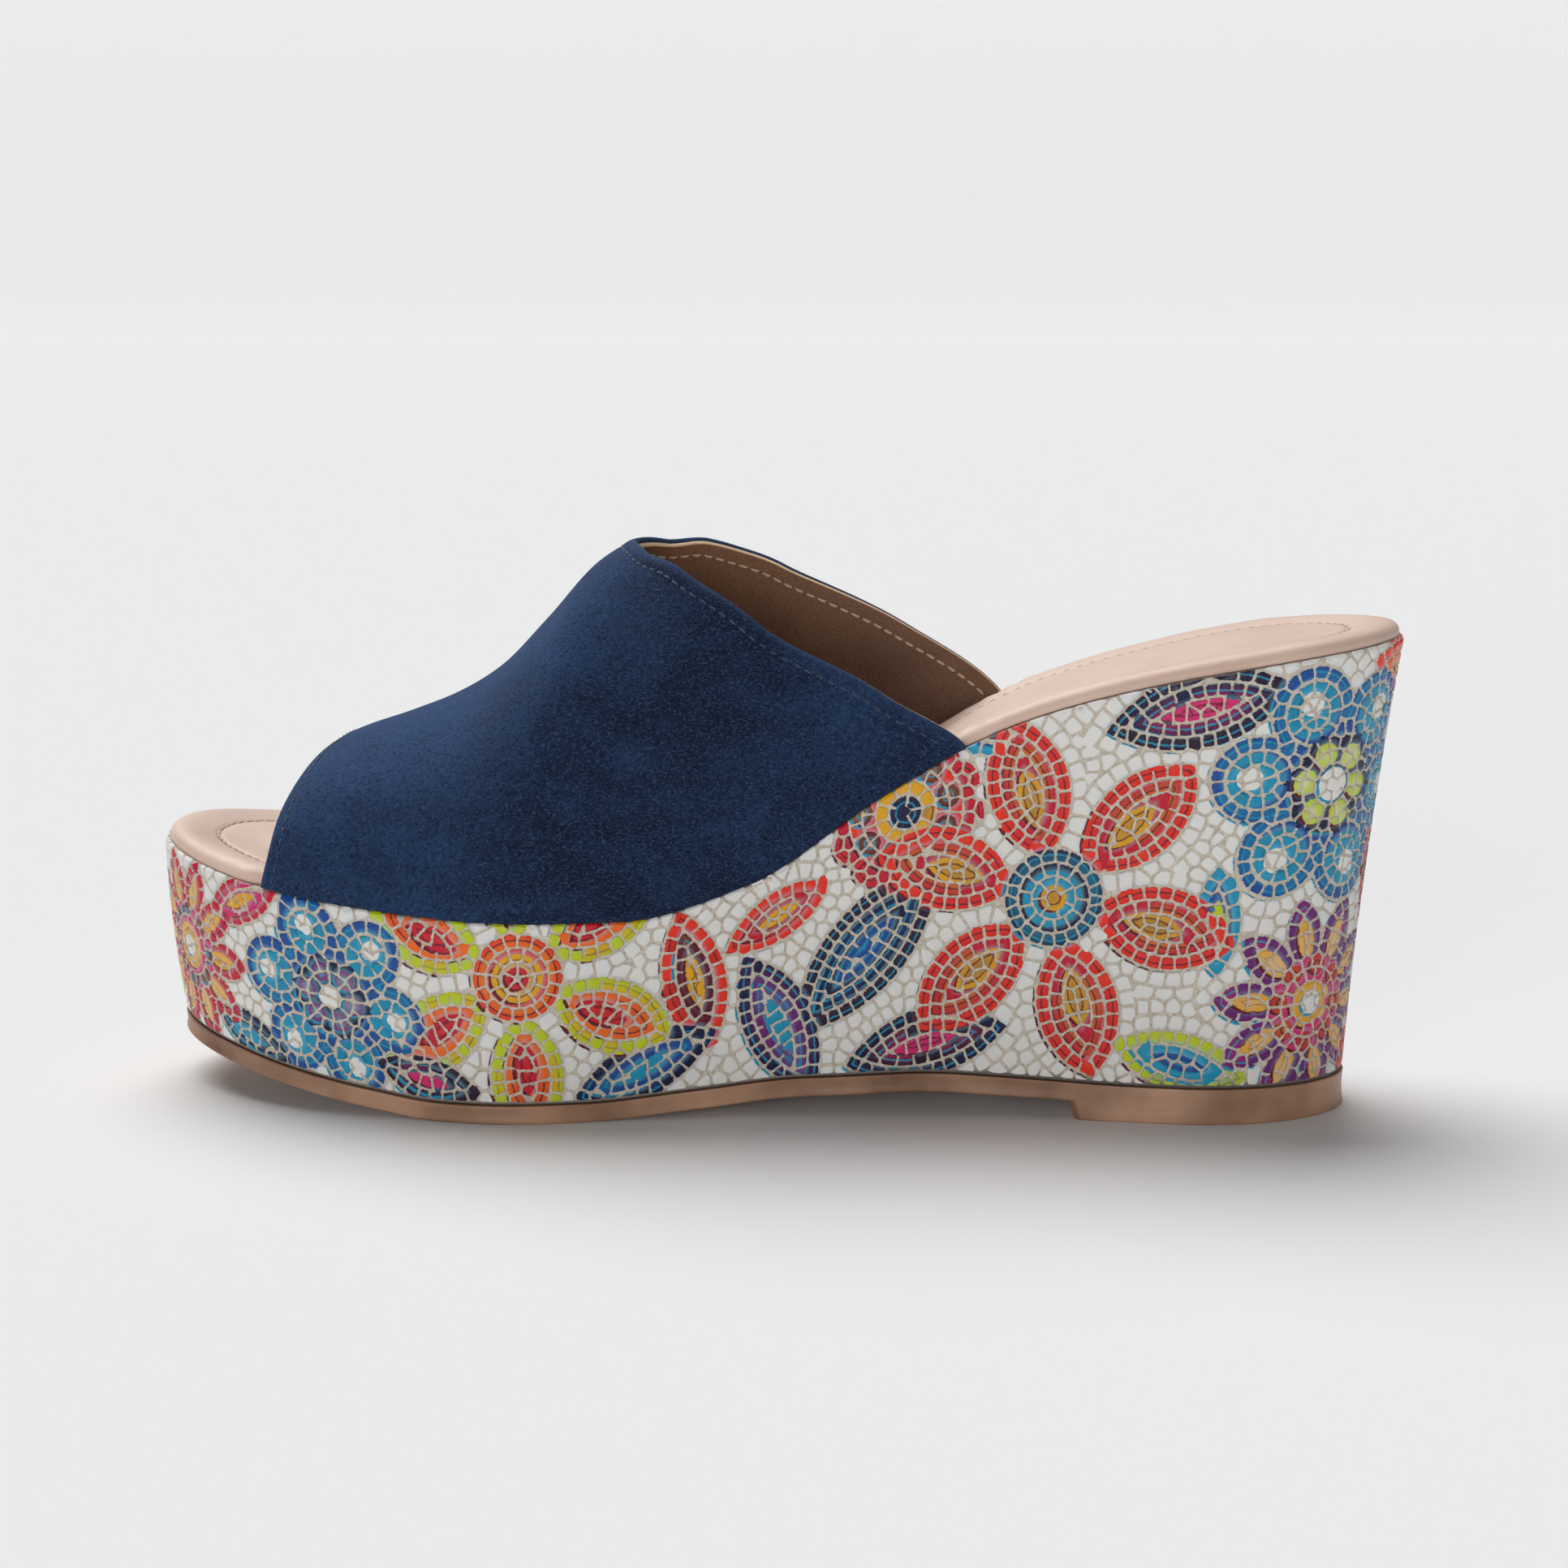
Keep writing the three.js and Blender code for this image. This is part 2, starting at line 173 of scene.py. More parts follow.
# Rim outline moved inwards along its own normal, which comes from a difference along u.
def rimPoint(u, side, inset):
    reach = 1e-4
    low, high = np.maximum(u - reach, 0), np.minimum(u + reach, 1)
    dx = xOf(high) - xOf(low)
    dy = middle(high) + side * halfWidth(high) - middle(low) - side * halfWidth(low)
    dx, dy = np.where(u == 0, 0, dx), np.where(u == 0, side, dy)
    dx, dy = np.where(u == 1, 0, dx), np.where(u == 1, -side, dy)
    size = np.hypot(dx, dy)
    x = xOf(u) - side * dy / size * inset
    return x, middle(u) + side * halfWidth(u) + side * dx / size * inset


# Outsole outline: the rim's plan between the two undercuts, narrowed by the foot share.
def footPoint(u, side, margin):
    s = soleSizes
    back = xOf(0) - s["heelUndercut"] + margin
    front = xOf(1) + s["toeUndercut"] - margin
    return back + (front - back) * u, middle(u) + side * halfWidth(u) * footShare(u) * (1 + margin / half)


# Distance from each point to a chain of points, by brute force a few rows at a time.
def distanceTo(points, chain):
    flat = points.reshape(-1, points.shape[-1]).astype(np.float32)
    chain = chain.astype(np.float32)
    parts = np.array_split(flat, 60)
    nearest = [np.sqrt(((part[:, None] - chain[None]) ** 2).sum(2).min(1)) for part in parts]
    return np.concatenate(nearest).reshape(points.shape[:-1])


# Places along the shoe, t - 0.8 sin(2 pi t) / 2 pi, so that they crowd at both ends.
def stations(count, extra=()):
    t = np.linspace(0, 1, count + 1)
    spaced = t - 0.8 * np.sin(2 * np.pi * t) / (2 * np.pi)
    extra = np.array(extra, float)
    if len(extra):
        spaced = spaced[np.abs(spaced[:, None] - extra).min(1) > 0.3 / count]
    return np.sort(np.concatenate([spaced, extra]))


# Loop round the shoe: out along the outer side from heel to toe and back along the inner side.
def loopOf(places):
    u = np.concatenate([places, places[-2:0:-1]])
    side = np.concatenate([-np.ones(len(places)), np.ones(len(places) - 2)])
    return u, side


# Quads between neighbouring rows of a grid of points; a closed grid joins its last column to its first.
def gridFaces(rows, columns, closed=False, start=0):
    last = columns if closed else columns - 1
    i, j = np.meshgrid(np.arange(rows - 1), np.arange(last), indexing="ij")
    here, over = i.ravel() * columns, (i.ravel() + 1) * columns
    j = j.ravel()
    k = (j + 1) % columns
    return start + np.stack([here + j, here + k, over + k, over + j], 1)


# Strips straight across a loop, from its outer half to its inner half.
def acrossFaces(size, start, up):
    count = size // 2 + 1
    i = np.arange(1, count - 2)
    quads = np.stack([i, i + 1, size - i - 1, size - i], 1)
    triangles = np.array([[0, 1, size - 1], [count - 2, count - 1, size - count + 2]])
    return [start + (faces[:, ::-1] if up else faces) for faces in (quads, triangles)]


# Faces of many like copies: one copy's faces, with the numbers of its points moved on from copy to copy.
def copyFaces(parts, copies, perCopy):
    starts = (np.arange(copies) * perCopy)[:, None, None]
    return [(part[None] + starts).reshape(-1, part.shape[-1]) for part in parts]


# Mesh from points in millimetres and sets of faces. Sets whose numbers are in flat are shaded flat.
def makePiece(name, points, faceSets, material, replaced=(), flat=()):
    mesh = bpy.data.meshes.new(name)
    corners = np.concatenate([faces.ravel() for faces in faceSets]).astype(np.int32)
    counts = np.concatenate([np.full(len(faces), faces.shape[1]) for faces in faceSets])
    mesh.vertices.add(len(points))
    mesh.vertices.foreach_set("co", (np.asarray(points) * mm).astype(np.float32).ravel())
    mesh.loops.add(len(corners))
    mesh.loops.foreach_set("vertex_index", corners)
    mesh.polygons.add(len(counts))
    firsts = np.concatenate([[0], np.cumsum(counts)[:-1]])
    mesh.polygons.foreach_set("loop_start", firsts.astype(np.int32))
    smooth = [np.full(len(faces), k not in flat) for k, faces in enumerate(faceSets)]
    mesh.polygons.foreach_set("use_smooth", np.concatenate(smooth))
    mesh.update(calc_edges=True)
    mesh.validate()
    mesh.materials.append(material)
    piece = bpy.data.objects.new(name, mesh)
    bpy.context.collection.objects.link(piece)
    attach(piece, "root")
    if replaced:
        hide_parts(*replaced)
    return piece


# One number or one colour for each point of a piece, stored in its mesh under a name.
def addAttribute(piece, name, values, kind="FLOAT"):
    layer = piece.data.attributes.new(name, kind, "POINT")
    field = "color" if kind == "FLOAT_COLOR" else "value"
    layer.data.foreach_set(field, np.asarray(values, np.float32).ravel())


# Materials: small helpers, then one function for each finish.
# Screen colour from 0 to 255 as linear light: a straight part near black, then a power of 2.4.
def linear(red, green, blue):
    c = np.array([red, green, blue]) / 255
    c = np.where(c < 0.04045, c / 12.92, ((c + 0.055) / 1.055) ** 2.4)
    return (*[float(v) for v in c], 1.0)


# New material and its main shader, with fixed values set on the shader's own sockets.
def startMaterial(name, **settings):
    material = bpy.data.materials.new(name)
    material.use_nodes = True
    shader = material.node_tree.nodes["Principled BSDF"]
    for socket, value in settings.items():
        shader.inputs[socket.replace("_", " ")].default_value = value
    return material, shader


# A node with its options and its inputs: a number, a colour or another node's output.
def addNode(material, kind, options=None, **inputs):
    tree = material.node_tree
    node = tree.nodes.new("ShaderNode" + kind)
    for option, value in (options or {}).items():
        setattr(node, option, value)
    for socket, value in inputs.items():
        byNumber = socket[1:].isdigit()
        target = node.inputs[int(socket[1:]) if byNumber else socket.replace("_", " ")]
        if isinstance(value, bpy.types.NodeSocket):
            tree.links.new(value, target)
        else:
            target.default_value = value
    return node


# The point's own place in the piece, in metres.
def objectPlace(material):
    return addNode(material, "TexCoord").outputs["Object"]


# Cloudy value round 0.5: sums of smooth noise, each finer and weaker than the last.
def noise(material, scale, detail=2, roughness=0.5, place=None, distortion=0):
    place = place or objectPlace(material)
    return addNode(material, "TexNoise", Vector=place, Scale=scale, Detail=detail, Roughness=roughness,
                   Distortion=distortion).outputs["Fac"]


# A place with each axis multiplied by its own factor, so that a pattern gets longer or shorter along it.
def stretched(material, place, scale):
    return addNode(material, "Mapping", Vector=place, Scale=scale).outputs[0]


# Straight-line remap of a value from one range to another, held at both ends.
def remap(material, value, low, high, toLow=0, toHigh=1):
    return addNode(material, "MapRange", Value=value, From_Min=low, From_Max=high, To_Min=toLow,
                   To_Max=toHigh).outputs[0]


# Straight-line mix from the first colour to the second.
def mixColour(material, factor, first, second, blend="MIX"):
    options = {"data_type": "RGBA", "blend_type": blend}
    node = addNode(material, "Mix", options, _0=factor, _6=first, _7=second)
    return node.outputs[2]


# One sum, product or other step of arithmetic on numbers or outputs.
def calculate(material, operation, first, second=0.0, third=0.0):
    return addNode(material, "Math", {"operation": operation}, _0=first, _1=second, _2=third).outputs[0]


# Relief from a height from 0 to 1 times a depth in millimetres, on top of any relief before it.
def bump(material, height, distance, before=None, strength=1):
    node = addNode(material, "Bump", Height=height, Distance=distance * mm, Strength=strength)
    if before:
        material.node_tree.links.new(before, node.inputs["Normal"])
    return node.outputs[0]


# Link from a node's output to a socket of the main shader.
def connect(material, output, shader, socket):
    material.node_tree.links.new(output, shader.inputs[socket])


# The value that a piece stores at each point under a name.
def attribute(material, name, output="Fac"):
    return addNode(material, "Attribute", {"attribute_name": name}).outputs[output]


print("shape functions ready")

# Outsole
outsoleLook = {
    "colour": (190, 148, 119),
    "shade": (120, 84, 61),
    "lining": (158, 122, 96),
    "roughness": 0.42,
    "stations": 260,
    "dust": (214, 196, 176),
    "treadScale": 130,
    "treadDepth": 0.35,
    "edgeRound": 0.45,
    "topRound": 0.27,
    "roundSteps": 5,
    "sideHollow": 0.22,
    "sideRows": (0.3, 0.45, 0.6, 0.75),
    "undersideInset": 2.2,
    "topInset": 1.6,
    "stepEdge": 0.16,
}


# Tan rubber: clouds and long streaks of colour, pale dust, and fine wavy tread where the face looks down.
def rubberMaterial():
    look = outsoleLook
    m, shader = startMaterial("rubber_tan", Roughness=look["roughness"], Subsurface_Weight=0.06,
                              Subsurface_Scale=0.002, Specular_IOR_Level=0.45)
    place = objectPlace(m)
    cloud = noise(m, 45, 3, 0.55, place)
    streak = noise(m, 900, 3, 0.6, stretched(m, place, (0.12, 0.12, 1.6)))
    colour = mixColour(m, remap(m, cloud, 0.35, 0.7), linear(*look["colour"]), linear(*look["shade"]))
    colour = mixColour(m, remap(m, streak, 0.5, 0.75, 0, 0.25), colour, linear(*look["lining"]))
    dust = noise(m, 2600, 1, 0.5, place)
    colour = mixColour(m, remap(m, dust, 0.76, 0.84, 0, 0.35), colour, linear(*look["dust"]))
    connect(m, colour, shader, "Base Color")
    connect(m, remap(m, cloud, 0.3, 0.7, 0.36, 0.52), shader, "Roughness")
    bands = {"wave_type": "BANDS", "bands_direction": "DIAGONAL", "wave_profile": "SIN"}
    tread = addNode(m, "TexWave", bands, Vector=place, Scale=look["treadScale"], Distortion=1.5,
                    Detail=0.0).outputs["Fac"]
    normal = addNode(m, "NewGeometry").outputs["Normal"]
    down = addNode(m, "SeparateXYZ", Vector=normal).outputs[2]
    under = remap(m, down, -0.9, -0.99)
    relief = bump(m, calculate(m, "MULTIPLY", tread, under), look["treadDepth"])
    relief = bump(m, streak, 0.035, relief)
    connect(m, relief, shader, "Normal")
    return m


# Outsole: rings of the foot outline from the underside up to the top, each
# a little further in or out. Its two edges are quarter rounds, its side is
# a sine hollow, and the heel piece ends in a short straight slope.
def buildOutsole():
    s, look = soleSizes, outsoleLook
    margin = s["outsoleMargin"]
    back, front = xOf(0) - s["heelUndercut"] + margin, xOf(1) + s["toeUndercut"] - margin
    length = back - front
    flatEnd = (s["heelPieceLength"] - s["heelPieceSlope"]) / length
    stepEnd = s["heelPieceLength"] / length
    near = look["stepEdge"] / length
    steps = [flatEnd - near, flatEnd, flatEnd + near, stepEnd - near, stepEnd, stepEnd + near]
    u, side = loopOf(stations(look["stations"], steps))
    blend = np.clip((u - flatEnd) / (stepEnd - flatEnd), 0, 1)
    r = look["edgeRound"]
    topRound = look["topRound"]
    quarter = np.linspace(0, np.pi / 2, look["roundSteps"])
    rings = []

    def addRing(inwards, share, lift):
        x, y = footPoint(u, side, margin - inwards)
        low = sheetBottom(x) * blend
        rings.append(np.stack([x, y, low + share * (sheetTop(x) - low) + lift], 1))

    addRing(look["undersideInset"], 0, 0)
    for angle in quarter:
        addRing(r * (1 - np.sin(angle)), 0, r * (1 - np.cos(angle)))
    for share in look["sideRows"]:
        addRing(look["sideHollow"] * np.sin(np.pi * share), share, 0)
    for angle in quarter:
        addRing(topRound * (1 - np.cos(angle)), 1, -topRound * (1 - np.sin(angle)))
    addRing(look["topInset"], 1, 0)
    points = np.concatenate(rings)
    size = len(u)
    faces = gridFaces(len(rings), size, closed=True)[:, ::-1]
    low = acrossFaces(size, 0, False)
    high = acrossFaces(size, (len(rings) - 1) * size, True)
    makePiece("outsole_rubber", points, [faces, *low, *high], rubberMaterial(), ["outsole"])


buildOutsole()
print("outsole done")

# Wrapped wedge: the printed wrap's ground, which shows between the tiles
wrapLook = {
    "ground": (226, 217, 203),
    "groundShade": (176, 165, 150),
    "cloud": (220, 212, 198),
    "glue": (92, 84, 80),
    "glueHeight": 0.7,
    "footTurnIn": 1.6,
    "topRings": (3, 8),
    "rimRound": 0.7,
    "roundSteps": 7,
    "stations": 240,
    "levels": 40,
}


# Wall of the wedge: a straight line from the foot outline up to the rim outline, plus a parabolic swell.
def wallPoint(u, side, t):
    s = soleSizes
    footX, footY = footPoint(u, side, 0)
    rimX, rimY = rimPoint(u, side, 0)
    bow = 4 * t * (1 - t) * wallBow(u) * s["wallSwell"]
    outX, outY = rimPoint(u, side, -bow)
    low = sheetTop(footX) + s["gap"]
    x = footX + (rimX - footX) * t + outX - rimX
    y = footY + (rimY - footY) * t + outY - rimY
    return x, y, low + (rimHeight(u) - low) * t


# The wall as rows of points, bottom to top, with a quarter round at the rim that turns in under the insole.
def wallRows():
    look = wrapLook
    r = look["rimRound"]
    u, side = loopOf(stations(look["stations"]))
    footX, _ = footPoint(u, side, 0)
    low = sheetTop(footX) + soleSizes["gap"]
    tall = rimHeight(u) - low
    shares = np.linspace(0, 1, look["levels"])
    rows = [np.stack(wallPoint(u, side, share * (1 - r / tall)), 1) for share in shares]
    edgeX, edgeY, _ = wallPoint(u, side, 1 - r / tall)
    rimX, rimY = rimPoint(u, side, 0)
    for angle in np.linspace(0, np.pi / 2, look["roundSteps"])[1:]:
        inX, inY = rimPoint(u, side, r * (1 - np.cos(angle)))
        lean = np.sin(angle)
        x = inX + (edgeX - rimX) * (1 - lean)
        y = inY + (edgeY - rimY) * (1 - lean)
        rows.append(np.stack([x, y, rimHeight(u) - r * (1 - lean)], 1))
    return rows


# Ring of the rim outline moved inwards, at a height over the rim there.
def flatRing(u, side, inset, height):
    x, y = rimPoint(u, side, inset)
    return np.stack([x, y, rimHeight(uOf(x)) + height], 1)


# Fibrous ground of the wrap, with clouds, and darker where the glue line shows at its foot.
def wrapMaterial():
    look = wrapLook
    m, shader = startMaterial("wrap_ground", Roughness=0.82, Specular_IOR_Level=0.25, Sheen_Weight=0.15)
    place = objectPlace(m)
    fibre = noise(m, 1500, 3, 0.65, place)
    cloud = noise(m, 70, 2, 0.5, place)
    colour = mixColour(m, remap(m, fibre, 0.35, 0.7), linear(*look["groundShade"]), linear(*look["ground"]))
    colour = mixColour(m, remap(m, cloud, 0.4, 0.7, 0, 0.3), colour, linear(*look["cloud"]))
    colour = mixColour(m, attribute(m, "glue"), colour, linear(*look["glue"]))
    connect(m, colour, shader, "Base Color")
    connect(m, bump(m, fibre, 0.16), shader, "Normal")
    return m


# Wrap: the wall's rows between a ring that turns in at the foot and two flat rings under the insole.
def buildWrap():
    look = wrapLook
    u, side = loopOf(stations(look["stations"]))
    footX, footY = footPoint(u, side, -look["footTurnIn"])
    rows = wallRows()
    base = np.stack([footX, footY, rows[0][:, 2]], 1)
    rings = [base, *rows, *[flatRing(u, side, inset, 0) for inset in look["topRings"]]]
    points = np.concatenate(rings)
    size = len(u)
    faces = gridFaces(len(rings), size, closed=True)[:, ::-1]
    low, high = acrossFaces(size, 0, False), acrossFaces(size, (len(rings) - 1) * size, True)
    wrap = makePiece("wrap_base", points, [faces, *low, *high], wrapMaterial(), ["wedge"])
    height = points[:, 2] - np.tile(rows[0][:, 2], len(rings))
    addAttribute(wrap, "glue", 1 - ease(height / look["glueHeight"]))


buildWrap()
print("wrapped wedge done")

# Print of the wrap: flowers and leaves on a white ground, laid out on the unrolled wall. place runs
# round the wall from the back of the heel, over the outer side to the toe and on to the inner side;
# height runs up the wall. Both are millimetres. Negative places lie on the inner side of the heel.
inks = {
    "white": (236, 235, 231),
    "coral": (234, 46, 20),
    "orange": (240, 106, 22),
    "crimson": (196, 14, 46),
    "pink": (210, 36, 110),
    "maroon": (96, 8, 34),
    "aubergine": (36, 12, 44),
    "purple": (106, 32, 114),
    "navy": (14, 18, 62),
    "blue": (14, 76, 150),
    "turquoise": (18, 148, 186),
    "lime": (190, 206, 26),
    "mustard": (228, 166, 16),
}
motifColumns = ("kind", "place", "height", "size", "turn", "colours")
motifs = [
    ("leaf", 97, 6, 17, -14, "navy aubergine pink"),
    ("leaf", 111, 25, 21, -50, "aubergine navy blue"),
    ("leaf", 128, 11, 17, 60, "navy purple turquoise"),
    ("leaf", 130, 33, 12, -30, "coral crimson mustard"),
    ("wheel", 105, 52, 16, 0, "crimson coral maroon mustard navy"),
    ("leaf", 46, 5, 14, 14, "lime turquoise blue"),
    ("leaf", 50, 74, 18, -16, "aubergine navy pink"),
    ("leaf", 42, 33, 11, 84, "turquoise blue lime"),
    ("leaf", 91, 68, 12, 12, "turquoise blue navy"),
    ("star", 74, 36, 36, 12, "coral crimson mustard navy turquoise"),
    ("dahlia", 20, 16, 21, 4, "purple pink crimson mustard white"),
    ("leaf", 0, 40, 16, 76, "crimson maroon mustard"),
    ("leaf", 3, 80, 13, 10, "coral orange mustard"),
    ("round", 22, 59, 25, 6, "blue turquoise navy lime white"),
    ("leaf", -3, 8, 13, -30, "coral crimson pink"),
    ("dahlia", -20, 63, 22, 0, "coral crimson maroon mustard white"),
    ("wheel", -23, 22, 20, 14, "aubergine purple navy pink mustard"),
    ("leaf", -47, 7, 15, -14, "lime turquoise blue"),
    ("leaf", -46, 74, 15, 18, "blue turquoise navy"),
    ("star", -71, 35, 35, 0, "turquoise blue navy crimson mustard"),
    ("leaf", -41, 43, 11, 86, "aubergine navy pink"),
    ("leaf", -88, 64, 12, 24, "coral crimson mustard"),
    ("round", -107, 33, 19, 0, "coral orange crimson mustard white"),
    ("leaf", -97, 6, 14, 12, "navy aubergine pink"),
    ("leaf", -120, 10, 11, -40, "crimson pink mustard"),
    ("leaf", 146, 22, 15, 74, "coral maroon mustard"),
    ("leaf", 155, 6, 15, -22, "navy blue turquoise"),
    ("star", 180, 25, 32, 24, "lime orange crimson coral mustard"),
    ("round", 218, 17, 20, 10, "blue turquoise navy purple white"),
    ("leaf", 198, 4, 11, 10, "aubergine navy pink"),
    ("leaf", 238, 31, 11, -28, "crimson pink mustard"),
    ("leaf", 239, 4, 11, 16, "navy aubergine turquoise"),
    ("dahlia", 257, 17, 19, 0, "crimson pink maroon mustard white"),
    ("leaf", 278, 30, 12, 30, "turquoise blue navy"),
    ("leaf", 277, 5, 12, -16, "lime orange coral"),
    ("wheel", 297, 17, 16, 0, "aubergine purple navy crimson mustard"),
    ("leaf", 318, 8, 14, -40, "coral crimson pink"),
    ("leaf", 319, 28, 12, 30, "navy blue turquoise"),
    ("round", 341, 17, 19, 12, "turquoise blue navy lime white"),
    ("leaf", 361, 30, 11, -24, "crimson pink mustard"),
    ("leaf", 362, 5, 12, 20, "aubergine navy turquoise"),
    ("star", 387, 10, 29, 8, "coral orange crimson purple mustard"),
    ("leaf", 409, 29, 13, -38, "blue navy turquoise"),
    ("dahlia", 424, 14, 17, 0, "pink crimson maroon mustard white"),
]
# Layers of each flower from the outside in: shape, its sizes, and the number of its ink. A ring of parts has
# their count, then the place, half length and half width of each as shares of the flower's radius.
recipes = {
    "star": [("blades", (6, 0.62, 0.4, 0.225), 0),
             ("blades", (6, 0.61, 0.3, 0.135), 1),
             ("blades", (6, 0.56, 0.17, 0.07), 2),
             ("disc", (0.27,), 3), ("disc", (0.15,), 4), ("disc", (0.07,), 2)],
    "dahlia": [("blades", (10, 0.68, 0.33, 0.19), 0),
               ("blades", (10, 0.62, 0.22, 0.09), 3),
               ("disc", (0.46,), 1),
               ("petals", (8, 0.36, 0.09, 0.1), 2),
               ("disc", (0.24,), 3), ("disc", (0.11,), 4)],
    "round": [("petals", (6, 0.62, 0.38, 0.34), 0),
              ("petals", (6, 0.66, 0.22, 0.2), 1),
              ("petals", (6, 0.7, 0.1, 0.09), 4),
              ("disc", (0.38,), 2),
              ("petals", (6, 0.25, 0.1, 0.1), 3),
              ("disc", (0.13,), 4)],
    "wheel": [("petals", (12, 0.82, 0.18, 0.22), 0),
              ("disc", (0.74,), 1),
              ("petals", (9, 0.56, 0.14, 0.15), 2),
              ("disc", (0.42,), 3), ("disc", (0.2,), 4)],
    "leaf": [("vesica", (1.0, 0.42), 0), ("vesica", (0.72, 0.25), 1), ("vesica", (0.42, 0.11), 2)],
}
# Heart of each flower as a share of its radius: inside it the rows of tiles run in circles.
heartShare = {"star": 0.27, "dahlia": 0.46, "round": 0.38, "wheel": 0.9, "leaf": 0}
# Each shape has a shadow in another ink, moved by the offset, and its ink fades towards the next one inwards.
printLook = {
    "offset": (0.55, -0.42),
    "warm": ("coral", "orange", "crimson", "pink", "lime", "mustard"),
    "warmShadow": "maroon",
    "coolShadow": "turquoise",
    "fade": 3.2,
    "fadeShare": 0.45,
    "driftShare": 0.2,
}


# Place in the nearest of a ring's like parts: turned into the first part and moved to its centre.
def inPart(x, y, count, at):
    r, angle = np.hypot(x, y), np.arctan2(y, x)
    part = 2 * np.pi / count
    angle = (angle + part / 2) % part - part / 2
    return r * np.cos(angle) - at, r * np.sin(angle)


# Ovals set round a centre: the radius in the oval's own units less 1, times its smaller half axis.
def petalShape(x, y, count, at, long, wide):
    x, y = inPart(x, y, count, at)
    return (np.hypot(x / long, y / wide) - 1) * min(long, wide)


# Disc: distance from the centre less the radius.
def discShape(x, y, radius):
    return np.hypot(x, y) - radius


# Pointed oval: where two circles overlap.
def vesicaShape(x, y, long, wide):
    radius = (long**2 + wide**2) / (2 * wide)
    return np.hypot(x, np.abs(y) + radius - wide) - radius


# Pointed ovals set round a centre.
def bladeShape(x, y, count, at, long, wide):
    x, y = inPart(x, y, count, at)
    return vesicaShape(x, y, long, wide)


shapes = {"petals": petalShape, "disc": discShape, "vesica": vesicaShape, "blades": bladeShape}


# A motif's own coordinates: moved to its centre, turned, and divided by its size.
def motifPlace(motif, place, height):
    turn = np.radians(motif["turn"])
    x, y = (place - motif["place"]) / motif["size"], (height - motif["height"]) / motif["size"]
    return x * np.cos(turn) + y * np.sin(turn), y * np.cos(turn) - x * np.sin(turn)


# Print layers from the ground up: each has its signed distance in millimetres and its inks.
def printLayers():
    layers = []
    for row in motifs:
        motif = dict(zip(motifColumns, row))
        colours = motif["colours"].split()
        for shape, sizes, ink in recipes[motif["kind"]]:
            tone = "warmShadow" if colours[ink] in printLook["warm"] else "coolShadow"
            layers.append({"motif": motif, "shape": shapes[shape], "sizes": sizes, "ink": colours[ink],
                           "core": colours[min(ink + 1, len(colours) - 1)], "shadow": printLook[tone]})
    return layers


# Distance to a layer's outline in millimetres, less than zero inside it.
def layerDistance(layer, place, height):
    x, y = motifPlace(layer["motif"], place, height)
    return layer["shape"](x, y, *layer["sizes"]) * layer["motif"]["size"]


# Distance to the nearest motif's outline, or inside a flower's heart to that circle, and the motif's number.
def rowField(place, height):
    fields = []
    for row in motifs:
        motif = dict(zip(motifColumns, row))
        shape, sizes, _ = recipes[motif["kind"]][0]
        x, y = motifPlace(motif, place, height)
        heart = discShape(x, y, heartShare[motif["kind"]])
        outline = np.minimum(shapes[shape](x, y, *sizes), heart)
        fields.append(np.where(heart < 0, heart, outline) * motif["size"])
    fields = np.stack(fields)
    nearest = fields.argmin(0)
    return np.take_along_axis(fields, nearest[None], 0)[0], nearest


# Tiles: raised cells of the wrap, in rows that follow the print's outlines, with fibrous gaps between them
tileLook = {
    "pitch": 2.75,
    "groundPitch": 3.3,
    "gapHalf": 0.26,
    "rimGap": 0.05,
    "footGap": 0.55,
    "joinGap": 0.12,
    "raise": 0.26,
    "edgeDrop": 0.08,
    "sink": -0.12,
    "flare": 0.1,
    "bevel": 0.26,
    "crown": 0.05,
    "corner": 15,
    "ragged": 0.04,
    "sides": 16,
    "smallest": 0.5,
    "radii": (0.25, 3.4),
    "levels": 90,
    "neighbours": 14,
    "pushers": 8,
    "nextRowAt": 0.35,
    "besideReach": 1.6,
    "sideMargin": 0.9,
    "rimMargin": 0.7,
    "rounds": 46,
    "refresh": 4,
    "fillAt": (12, 24, 36),
    "bareAt": 0.7,
    "crowdedAt": 0.48,
    "jitter": 0.5,
    "follow": 0.45,
    "push": 0.3,
    "pushReach": 1.12,
    "longestMove": 0.8,
    "margin": 0.8,
    "tallest": 90,
    "open": 9,
    "join": -127,
    "cut": 80,
    "seed": 11,
    "halo": (150, 214, 240),
    "weave": (176, 172, 166),
    "fleck": (150, 140, 150),
}


# Wall as a smooth lookup: cross lines resampled to even shares of their length, with unit normals from the
# cross product of its two differences.
def wallLookup():
    rows = np.stack(wallRows(), 1)
    steps = np.linalg.norm(np.diff(rows, axis=1), axis=2)
    run = np.concatenate([np.zeros((len(rows), 1)), np.cumsum(steps, 1)], 1)
    total = run[:, -1]
    share = np.linspace(0, 1, tileLook["levels"])
    even = np.stack([[np.interp(share * t, r, column[:, k]) for k in range(3)]
                     for t, r, column in zip(total, run, rows)]).transpose(0, 2, 1)
    middleLine = even[:, tileLook["levels"] // 2]
    lap = np.linalg.norm(np.roll(middleLine, -1, 0) - middleLine, axis=1)
    along = np.concatenate([[0], np.cumsum(lap)])
    lengthways = np.roll(even, -1, 0) - np.roll(even, 1, 0)
    upwards = np.gradient(even, axis=1)
    normal = np.cross(upwards, lengthways)
    normal /= np.linalg.norm(normal, axis=2)[..., None]
    closed = [np.concatenate([values, values[:1]]) for values in (even, normal, total)]
    return along, *closed


